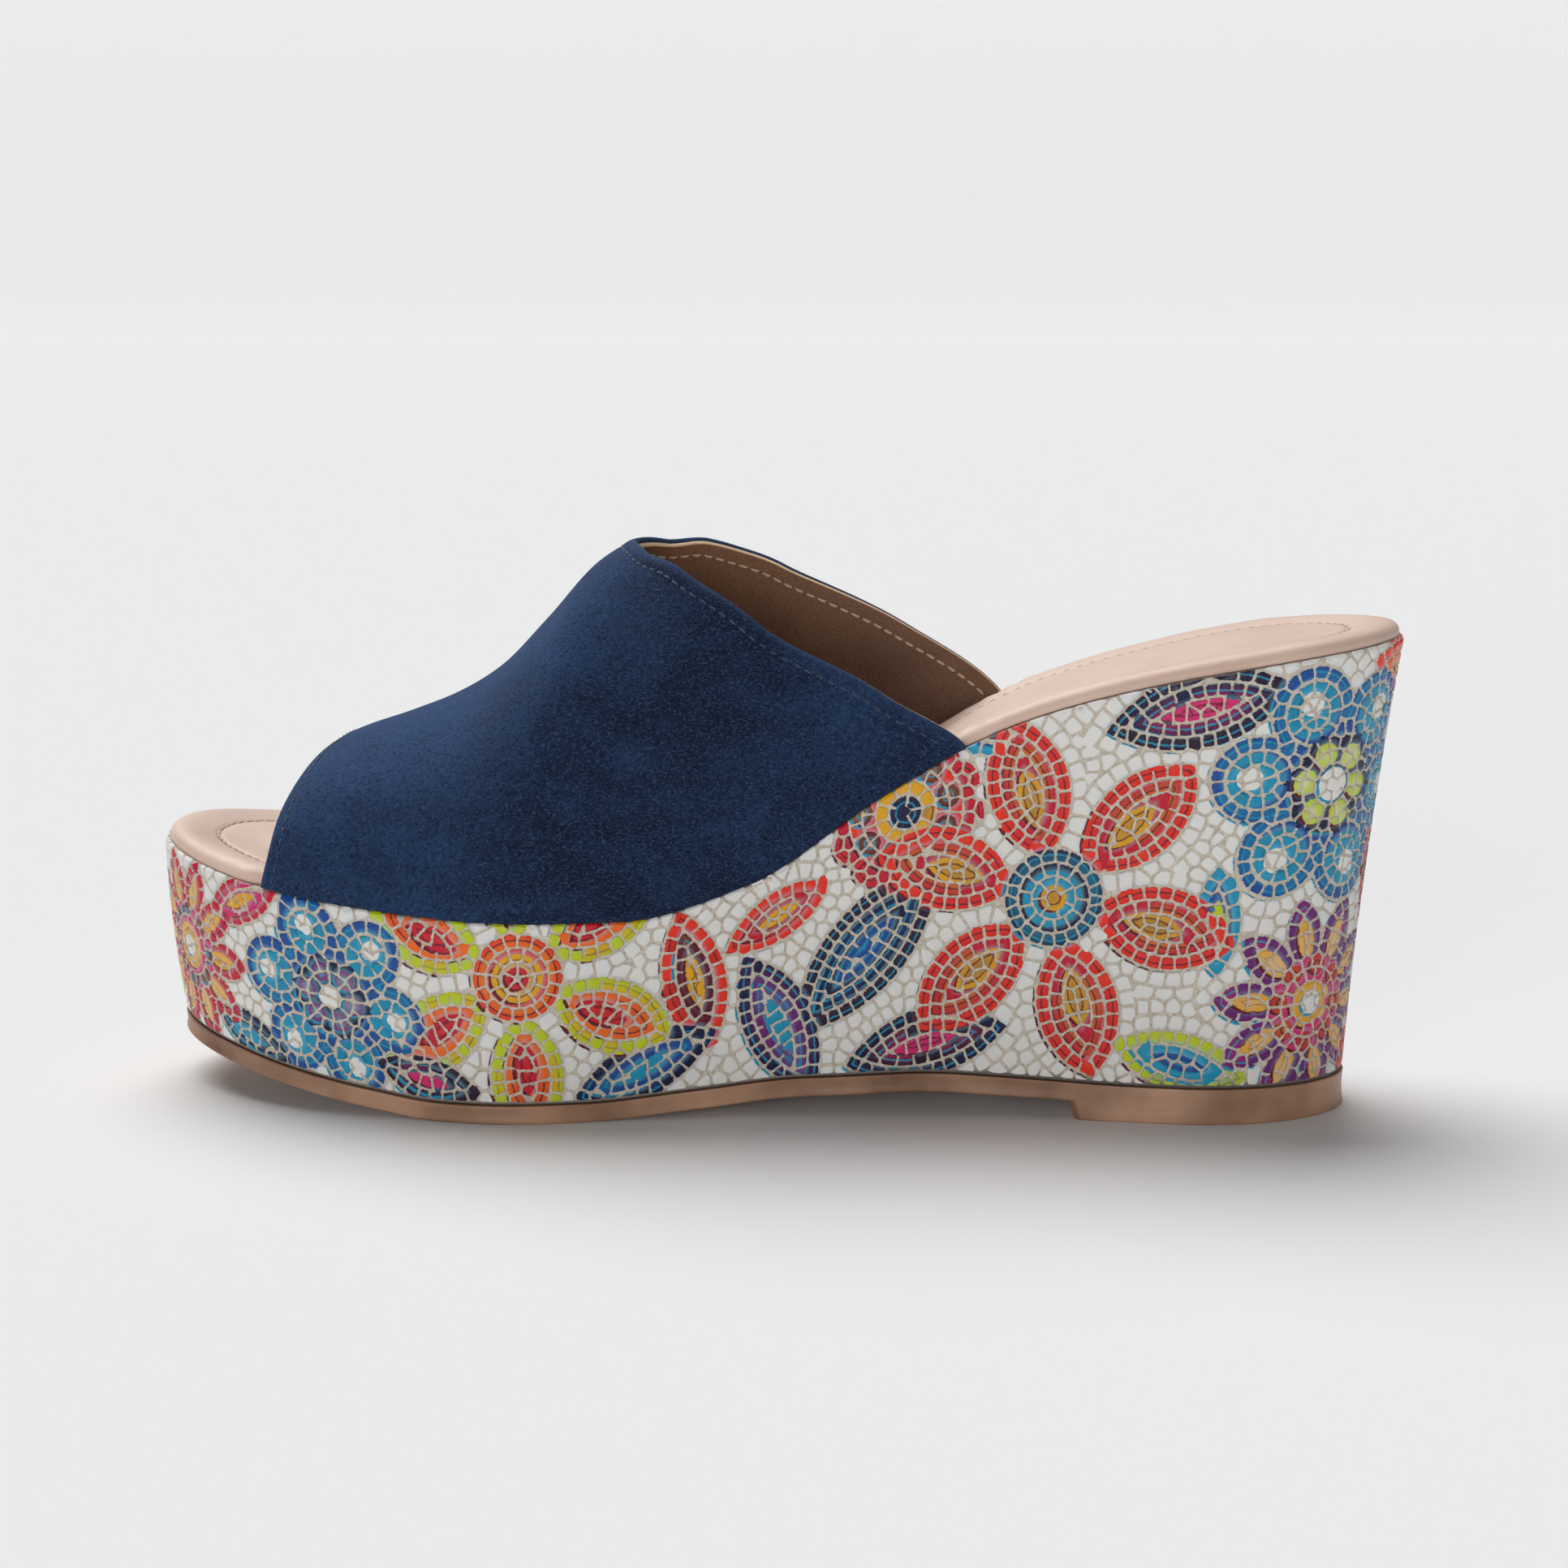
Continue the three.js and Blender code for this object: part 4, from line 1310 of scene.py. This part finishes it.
# Outer face of the upper: a superellipse from rim to rim over the foot, peaked
# at the ridge, with its sides made fuller by the sine of twice the turn.
def upperPoint(u, across):
    s = upperSizes
    ridge = s["ridgeShift"] + soleSizes["sideShift"]
    side = np.where(across < 0, -1, 1)
    turn = np.minimum(np.abs(across), 1) * np.pi / 2
    power = 2 / fullnessAt(u)
    spread = np.sin(turn) ** power
    rise = np.maximum(np.cos(turn), 0) ** power
    rim = middle(u) + side * halfWidth(u)
    full = side * s["sideFullness"] * np.maximum(np.sin(2 * turn), 0) * across**2
    y = ridge + (rim - ridge) * spread + full
    z = rimHeight(u) + soleSizes["gap"] + s["instepRise"] * ridgeShare(u) * rise
    return np.stack([xOf(u), y, z], -1)


# Outward unit normal of the upper, from differences along and across; it stays level at both lower edges.
def upperNormal(u, across):
    step = 1e-3
    lengthways = upperPoint(u - step, across) - upperPoint(u + step, across)
    low, high = np.maximum(across - step, -1), np.minimum(across + step, 1)
    normal = np.cross(lengthways, upperPoint(u, high) - upperPoint(u, low))
    normal[..., 2] = np.where(np.abs(across) > 0.9999, 0, normal[..., 2])
    return normal / np.linalg.norm(normal, axis=-1)[..., None]


# Swells: a sum of bell-shaped mounds from the table, each exp(-distance^2) in its own lengths.
def swells(u, across):
    t = swellTable
    height = np.zeros(np.broadcast(u, across).shape)
    for k in range(len(t["u"])):
        far = ((u - t["u"][k]) / t["long"][k]) ** 2 + ((across - t["across"][k]) / t["wide"][k]) ** 2
        height += t["height"][k] * np.exp(-far)
    return height


# Cross lines of the upper, t + 0.1 sin(pi t) / pi from -1 to 1, so that they crowd towards both lower edges.
def acrossPlaces(count):
    t = np.linspace(-1, 1, count + 1)
    return t + 0.1 * np.sin(np.pi * t) / np.pi


# Places along a cross line, in shares from the front edge (0) to the collar (1), closest near both.
def alongPlaces(count):
    t = np.linspace(0, 1, count + 1)
    return t - 0.86 * np.sin(2 * np.pi * t) / (2 * np.pi)


# Grid over the upper: u runs straight from the front edge's curve to the collar's on each cross line.
def upperGrid(count, rows):
    across = acrossPlaces(count)[:, None]
    share = alongPlaces(rows)[None]
    u = frontAt(across) + (collarAt(across) - frontAt(across)) * share
    return u, across + 0 * share


# One layer of the upper between two depths under the outer face: outer
# side, collar edge, inner side and front edge. Both edges go from one
# depth to the other as a cosine and bulge out as a sine. cut is 1 on them.
def layerSection(u, across, top, bottom, r, relief):
    points, normal = upperPoint(u, across), upperNormal(u, across)
    outward = np.stack([points[:, 0] - points[:, 1], points[:, -1] - points[:, -2]], 1)
    outward /= np.linalg.norm(outward, axis=2)[..., None]
    outer = points - normal * (top - relief)[..., None]
    inner = (points - normal * bottom)[:, ::-1]
    collar, front = [], []
    for angle in np.linspace(0, np.pi, upperSizes["edgeSteps"])[1:-1]:
        deep = top + (bottom - top) * (1 - np.cos(angle)) / 2
        bulge = r * np.sin(angle)
        collar.append(points[:, -1] - normal[:, -1] * deep + outward[:, 1] * bulge)
        deep = bottom + (top - bottom) * (1 - np.cos(angle)) / 2
        front.append(points[:, 0] - normal[:, 0] * deep + outward[:, 0] * bulge)
    section = np.concatenate([outer, np.stack(collar, 1), inner, np.stack(front, 1)], 1)
    rows = u.shape[1]
    cut = np.zeros(section.shape[:2])
    cut[:, rows:rows + len(collar)] = 1
    cut[:, 2 * rows + len(collar):] = 1
    return section, cut


# Strips that close the two lower ends of a layer, from its outer face to its inner face.
def endFaces(rows, edge, size, start, flip):
    ids = start + np.arange(size)
    outer, inner = ids[:rows], ids[rows + edge:2 * rows + edge][::-1]
    strip = np.stack([outer[:-1], outer[1:], inner[1:], inner[:-1]], 1)
    collar = np.concatenate([[outer[-1]], ids[rows:rows + edge], [inner[-1]]])[None]
    front = np.concatenate([[inner[0]], ids[2 * rows + edge:], [outer[0]]])[None]
    return [f[:, ::-1] if flip else f for f in (strip, collar, front)]


suedeLook = {
    "dark": (25, 36, 57),
    "light": (45, 71, 111),
    "pit": (11, 17, 30),
    "hair": (62, 84, 122),
    "worn": (70, 92, 124),
    "tint": (130, 155, 195),
    "napDepth": 0.32,
    "hairDepth": 0.1,
    # Painted light on the suede where it faces up.
    "paintedTopLight": 0.4,
}
# Patches of painted highlight and painted shade on the suede, partly nap mottling: x, z and radius in
# millimetres, and how much lighter or darker.
paintedShadingPatches = [
    (-72, 61, 29, 0.42),
    (-93, 50, 15, 0.26),
    (-56, 50, 9, 0.1),
    (-40, 96, 16, 0.55),
    (12, 72, 13, 0.38),
    (-20, 76, 24, -0.14),
    (-34, 50, 14, -0.12),
    (4, 88, 12, -0.12),
    (-84, 40, 8, -0.16),
    (-52, 84, 9, 0.15),
    (-8, 58, 10, 0.12),
]


# Suede: dark to light by clouds, brush strokes and painted highlights and painted shade, with pits and light
# hairs of the nap as relief.
def suedeMaterial():
    look = suedeLook
    m, shader = startMaterial("suede_navy", Roughness=0.95, Specular_IOR_Level=0.12, Sheen_Weight=0.22,
                              Sheen_Roughness=0.4, Sheen_Tint=linear(*look["tint"]))
    place = objectPlace(m)
    cloud = noise(m, 26, 4, 0.55, place, distortion=0.4)
    patch = noise(m, 90, 3, 0.6, place)
    stroke = noise(m, 62, 2, 0.45, stretched(m, place, (0.7, 1, 1.3)), distortion=0.9)
    nap = noise(m, 1250, 4, 0.7, place)
    hair = noise(m, 2400, 2, 0.5, stretched(m, place, (0.75, 1, 1.25)))
    level = remap(m, cloud, 0.36, 0.66, 0.02, 0.3)
    level = calculate(m, "ADD", level, remap(m, patch, 0.35, 0.7, 0.1, -0.12))
    level = calculate(m, "ADD", level, remap(m, stroke, 0.36, 0.64, -0.15, 0.2))
    # Painted highlights and painted shade, varied by the patch clouds.
    paintedShading = calculate(m, "MULTIPLY", attribute(m, "paintedShading"), remap(m, patch, 0.3, 0.7, 0.6, 1.35))
    level = calculate(m, "ADD", level, paintedShading)
    colour = mixColour(m, remap(m, level, 0, 1), linear(*look["dark"]), linear(*look["light"]))
    colour = mixColour(m, remap(m, nap, 0.36, 0.54, 0.72, 0), colour, linear(*look["pit"]))
    colour = mixColour(m, remap(m, hair, 0.5, 0.68, 0, 0.6), colour, linear(*look["hair"]))
    colour = mixColour(m, attribute(m, "worn"), colour, linear(*look["worn"]))
    connect(m, colour, shader, "Base Color")
    relief = bump(m, nap, look["napDepth"])
    relief = bump(m, hair, look["hairDepth"], relief)
    connect(m, relief, shader, "Normal")
    return m


liningLook = {
    "colour": (120, 86, 64),
    "shade": (98, 69, 51),
    # The next three: painted light high up on the lining, its colour and the heights where it fades in.
    "high": (156, 116, 88),
    "paintedLightFrom": 0.084,
    "paintedLightTo": 0.106,
    "pore": (66, 44, 32),
    "cutEdge": (229, 197, 158),
    "poreDepth": 0.07,
    "foldDepth": 0.22,
}


# Lining: brown leather with pores, with painted light high up under the instep, and its raw pale edge where
# it is cut.
def liningMaterial():
    look = liningLook
    m, shader = startMaterial("lining_leather", Roughness=0.55, Specular_IOR_Level=0.4)
    place = objectPlace(m)
    grain = addNode(m, "TexVoronoi", {"feature": "DISTANCE_TO_EDGE"}, Vector=place, Scale=1150).outputs[0]
    fold = noise(m, 240, 3, 0.6, stretched(m, place, (1.4, 1, 0.7)))
    cloud = noise(m, 40, 3, 0.5, place)
    colour = mixColour(m, remap(m, cloud, 0.35, 0.7), linear(*look["colour"]), linear(*look["shade"]))
    height = addNode(m, "SeparateXYZ", Vector=place).outputs[2]
    # Painted light: lighter high up on the lining.
    high = remap(m, height, look["paintedLightFrom"], look["paintedLightTo"], 0, 0.7)
    colour = mixColour(m, high, colour, linear(*look["high"]))
    colour = mixColour(m, remap(m, grain, 0, 0.12, 0.3, 0), colour, linear(*look["pore"]))
    colour = mixColour(m, attribute(m, "cut"), colour, linear(*look["cutEdge"]))
    connect(m, colour, shader, "Base Color")
    connect(m, remap(m, fold, 0.3, 0.7, 0.45, 0.65), shader, "Roughness")
    relief = bump(m, remap(m, grain, 0, 0.2), look["poreDepth"])
    relief = bump(m, fold, look["foldDepth"], relief)
    connect(m, relief, shader, "Normal")
    return m


# Painted shading of the suede: painted highlights and painted shade as a sum of bell-shaped patches, and
# painted light where the band faces up.
def paintedSuedeShading(points):
    across = np.roll(points, -1, 1) - np.roll(points, 1, 1)
    along = np.gradient(points, axis=0)
    normal = np.cross(across, along)
    up = np.abs(normal[..., 2]) / np.maximum(np.linalg.norm(normal, axis=2), 1e-6)
    paintedShading = suedeLook["paintedTopLight"] * ease((up - 0.5) / 0.45)
    for x, z, radius, strength in paintedShadingPatches:
        paintedShading += strength * np.exp(-((points[..., 0] - x) ** 2 + (points[..., 2] - z) ** 2) / radius**2)
    return paintedShading


# Upper: suede and lining as two layers on one grid. The suede has a puffed band along the collar,
# a groove under each stitch row and the soft swells, and all of these die away at its lower edges.
def buildUpper():
    s = upperSizes
    u, across = upperGrid(s["columns"], s["rows"])
    face, normal = upperPoint(u, across), upperNormal(u, across)
    toCollar, toFront = distanceTo(face, face[:, -1]), distanceTo(face, face[:, 0])
    columns, rows = u.shape
    band = s["bandPuff"] * np.maximum(np.sin(np.pi * np.clip(toCollar / s["bandWidth"], 0, 1)), 0) ** 0.7
    groove = np.exp(-((toCollar - s["bandWidth"]) / s["grooveWidth"]) ** 2)
    groove = groove + s["frontGroove"] * np.exp(-((toFront - s["frontRow"]) / s["grooveWidth"]) ** 2)
    low = ease((1 - np.abs(across)) / s["lowCalm"])
    swell = swells(u, across) * ease(toCollar / s["collarCalm"]) * ease(toFront / s["frontCalm"])
    layers = [("upper_suede", 0, s["suede"], s["edgeRound"]),
              ("upper_lining", s["liningFrom"], s["wall"], s["liningRound"])]
    for name, top, bottom, r in layers:
        outside = name == "upper_suede"
        relief = (band - s["grooveDepth"] * groove + swell) * low if outside else 0 * u
        section, cut = layerSection(u, across, top, bottom, r, relief)
        size = section.shape[1]
        faces = gridFaces(columns, size, closed=True)
        edge = (size - 2 * rows) // 2
        first = endFaces(rows, edge, size, 0, True)
        last = endFaces(rows, edge, size, (columns - 1) * size, False)
        material = suedeMaterial() if outside else liningMaterial()
        piece = makePiece(name, section.reshape(-1, 3), [faces, *first, *last], material, ["upper"])
        addAttribute(piece, "cut", cut)
        worn = np.zeros(section.shape[:2])
        worn[:, :rows] = s["wornShare"] * np.exp(-np.minimum(toCollar, toFront) / s["wornReach"])
        addAttribute(piece, "worn", worn + s["cutWorn"] * cut)
        if outside:
            # Painted highlights and painted shade of the suede, stored on each point.
            addAttribute(piece, "paintedShading", paintedSuedeShading(section))
    return face, normal, toCollar, toFront


# Chain of points on the upper at an even distance from one edge: a straight line between the two grid points
# round that distance on each cross line.
def rowAt(values, distance, face, normal, fromEnd):
    order = slice(None, None, -1) if fromEnd else slice(None)
    values, face, normal = values[:, order], face[:, order], normal[:, order]
    k = np.maximum((values < distance).argmin(1), 1)
    i = np.arange(len(k))
    low, high = values[i, k - 1], values[i, k]
    t = ((distance - low) / (high - low))[:, None]
    place = face[i, k - 1] * (1 - t) + face[i, k] * t
    return place[3:-3], (normal[i, k - 1] * (1 - t) + normal[i, k] * t)[3:-3]


upperFace, upperOut, toCollar, toFront = buildUpper()
print("upper and lining done")

# Stitch rows of the upper: pitch, length, width and lift of the stitches, and how deep the row lies.
threadLook = {
    "suede": (72, 84, 108),
    "suedeShade": (22, 30, 48),
    "lining": (222, 204, 178),
    "liningShade": (190, 168, 140),
    "collarRow": (2.5, 1.9, 0.42, 0.05),
    "collarDeep": 0.2,
    "frontRow": (2.5, 1.8, 0.4, 0.05),
    "frontDeep": 0.14,
    "liningRow": (2.5, 2.0, 0.5, 0.08),
}


# Three rows at even distances from an edge: collar and front on the suede, and one on the lining's far side.
def buildUpperStitches():
    s, look = upperSizes, threadLook
    dark = threadMaterial("suede_thread", look["suede"], look["suedeShade"])
    cream = threadMaterial("lining_thread", look["lining"], look["liningShade"])
    place, out = rowAt(toCollar, s["bandWidth"], upperFace, upperOut, True)
    place = place - out * look["collarDeep"]
    stitchRow("collar_stitches", place, out, look["collarRow"], dark)
    place, out = rowAt(toFront, s["frontRow"], upperFace, upperOut, False)
    place = place - out * look["frontDeep"]
    stitchRow("front_stitches", place, out, look["frontRow"], dark)
    place, out = rowAt(toCollar, s["liningRow"], upperFace, upperOut, True)
    place = place - out * s["wall"]
    stitchRow("lining_stitches", place, -out, look["liningRow"], cream)


buildUpperStitches()
print("stitches done")

# Fibres: fine bent hairs on the suede's two edges and on the wrap's cut edge under the insole
fibreLook = {
    "suedeCount": 1500,
    "wrapCount": 1300,
    "shortest": 0.25,
    "longest": 0.7,
    "radius": 0.032,
    "spread": 0.5,
    "bend": 0.3,
    "sunk": 0.35,
    "middleAt": 0.55,
    "middleBend": 0.3,
    "middleShare": 0.7,
    "leanOut": 0.8,
    "leanUp": 0.5,
    "depth": (0.2, 1.0),
    "wrapLean": 0.35,
    "wrapUp": 0.9,
    "wrapDepth": (0.1, 0.5),
    "suede": (62, 86, 124),
    "wrap": (216, 210, 198),
    "seed": 5,
}


# Random places along a chain of points by its length, with the values of the other chains there.
def scatterOn(chains, count, random):
    run = np.concatenate([[0], np.cumsum(np.linalg.norm(np.diff(chains[0], axis=0), axis=1))])
    at = random.uniform(0, run[-1], count)
    return [np.stack([np.interp(at, run, chain[:, k]) for k in range(3)], 1) for chain in chains]


# One closed mesh of many hairs, each a three-sided tube
# round root + heading t + bend t^2 that ends in a point.
def hairPiece(name, roots, headings, colour, random):
    look = fibreLook
    m, shader = startMaterial(name, Roughness=0.9, Specular_IOR_Level=0.2, Sheen_Weight=0.2)
    shader.inputs["Base Color"].default_value = linear(*colour)
    count = len(roots)
    length = random.uniform(look["shortest"], look["longest"], (count, 1))
    heading = unit(unit(headings) + random.normal(0, look["spread"], roots.shape)) * length
    bend = random.normal(0, look["bend"], roots.shape) * length
    aside = unit(np.cross(heading, random.normal(0, 1, roots.shape)))
    over = unit(np.cross(heading, aside))
    turn = 2 * np.pi * np.arange(3) / 3
    ring = aside[:, None] * np.cos(turn)[None, :, None] + over[:, None] * np.sin(turn)[None, :, None]
    ring = look["radius"] * ring
    low = (roots - heading * look["sunk"])[:, None] + ring
    high = (roots + heading * look["middleAt"] + bend * look["middleBend"])[:, None]
    high = high + look["middleShare"] * ring
    tip = (roots + heading + bend)[:, None]
    points = np.concatenate([low, high, tip], 1)
    parts = [gridFaces(2, 3, closed=True), np.array([[3, 4, 6], [4, 5, 6], [5, 3, 6]]), np.array([[2, 1, 0]])]
    faces = copyFaces(parts, count, points.shape[1])
    makePiece(name, points.reshape(-1, 3), faces, m)


# Hairs on both edges of the suede, which lean out past the edge, and on the wrap's rim, which lean up.
def buildFibres():
    look = fibreLook
    random = np.random.default_rng(look["seed"])
    roots, headings = [], []
    for edge, inner in ((-1, -2), (0, 1)):
        outward = unit(upperFace[:, edge] - upperFace[:, inner])
        heading = look["leanOut"] * outward + look["leanUp"] * upperOut[:, edge]
        chains = [upperFace[:, edge], upperOut[:, edge], heading]
        place, out, lean = scatterOn(chains, look["suedeCount"] // 2, random)
        roots.append(place - out * random.uniform(*look["depth"], (len(place), 1)))
        headings.append(lean)
    roots, headings = np.concatenate(roots), np.concatenate(headings)
    hairPiece("suede_fibres", roots, headings, look["suede"], random)
    place = random.uniform(0, wall[0][-1], look["wrapCount"])
    height = wallTotal(wall, place) - random.uniform(*look["wrapDepth"], len(place))
    root, out = wallAt(wall, place, height)
    lean = look["wrapLean"] * out + [0, 0, look["wrapUp"]]
    hairPiece("wrap_fibres", root, lean, look["wrap"], random)


buildFibres()
print("fibres done")

# Camera, at the photo's angle to the shoe, and a plain pale studio
studio = {
    "cameraPlace": (0.08714, -0.68846, 0.165),
    "pitchDown": 8.57,
    "yaw": 6.99,
    "lens": 81.2,
    "sensor": 36,
    "floor": (236, 236, 236),
    "floorNear": -40.0,
    "floorFar": 6.0,
    "floorWidth": 90.0,
    "sweepRadius": 3.0,
    "sweepTop": 1.0,
    "sweepRows": 18,
    "glowTop": 1.5,
    "worldStrength": 0.13,
    "floorGlow": 0.012,
    "wallGlow": 0.357,
    "keyStrength": 2.95,
    "keyFrom": (-0.34, 0.54, 1),
    "keySpread": 52,
    "fillStrength": 1.6,
    "fillFrom": (-0.15, -1, 0.06),
    "fillSpread": 38,
}


# Distant soft light from a direction; its spread is the angle it fills in the sky.
def addLight(name, strength, direction, spread):
    light = bpy.data.lights.new(name, "SUN")
    light.energy = strength
    light.angle = np.radians(spread)
    thing = bpy.data.objects.new(name, light)
    bpy.context.collection.objects.link(thing)
    thing.location = direction
    thing.rotation_euler = Vector(direction).to_track_quat("Z", "Y").to_euler()


# Backdrop: the floor's straight line and the start of a
# circle behind it, as one profile drawn straight across.
def buildBackdrop():
    s = studio
    r = s["sweepRadius"]
    angle = np.linspace(0, np.arccos(1 - s["sweepTop"] / r), s["sweepRows"])
    y = np.concatenate([[s["floorNear"]], s["floorFar"] + r * np.sin(angle)])
    z = np.concatenate([[0], r - r * np.cos(angle)])
    x = np.array([-s["floorWidth"], s["floorWidth"]]) / 2
    points = np.stack([np.tile(x, len(y)), np.repeat(y, 2), np.repeat(z, 2)], 1)
    m, shader = startMaterial("backdrop", Roughness=1, Specular_IOR_Level=0)
    shader.inputs["Base Color"].default_value = linear(*s["floor"])
    shader.inputs["Emission Color"].default_value = (1, 1, 1, 1)
    up = addNode(m, "SeparateXYZ", Vector=objectPlace(m)).outputs[2]
    connect(m, remap(m, up, 0, s["glowTop"], s["floorGlow"], s["wallGlow"]), shader, "Emission Strength")
    mesh = bpy.data.meshes.new("backdrop")
    faces = gridFaces(len(y), 2)
    mesh.from_pydata(points.tolist(), [], faces.tolist())
    mesh.polygons.foreach_set("use_smooth", np.ones(len(faces), bool))
    mesh.materials.append(m)
    sheet = bpy.data.objects.new("backdrop", mesh)
    bpy.context.collection.objects.link(sheet)


# Camera, world, two soft lights and the backdrop.
def buildStudio():
    s = studio
    lens = bpy.data.cameras.new("camera")
    lens.lens = s["lens"]
    lens.sensor_width = s["sensor"]
    lens.clip_start = 0.01
    camera = bpy.data.objects.new("camera", lens)
    bpy.context.collection.objects.link(camera)
    camera.location = s["cameraPlace"]
    camera.rotation_euler = (np.radians(90 - s["pitchDown"]), 0, np.radians(s["yaw"]))
    bpy.context.scene.camera = camera
    world = bpy.data.worlds.new("studio")
    world.use_nodes = True
    sky = world.node_tree.nodes["Background"]
    sky.inputs["Color"].default_value = (1, 1, 1, 1)
    sky.inputs["Strength"].default_value = s["worldStrength"]
    bpy.context.scene.world = world
    bpy.context.scene.view_settings.view_transform = "Standard"
    addLight("key", s["keyStrength"], s["keyFrom"], s["keySpread"])
    addLight("fill", s["fillStrength"], s["fillFrom"], s["fillSpread"])
    buildBackdrop()


buildStudio()
print("studio done")
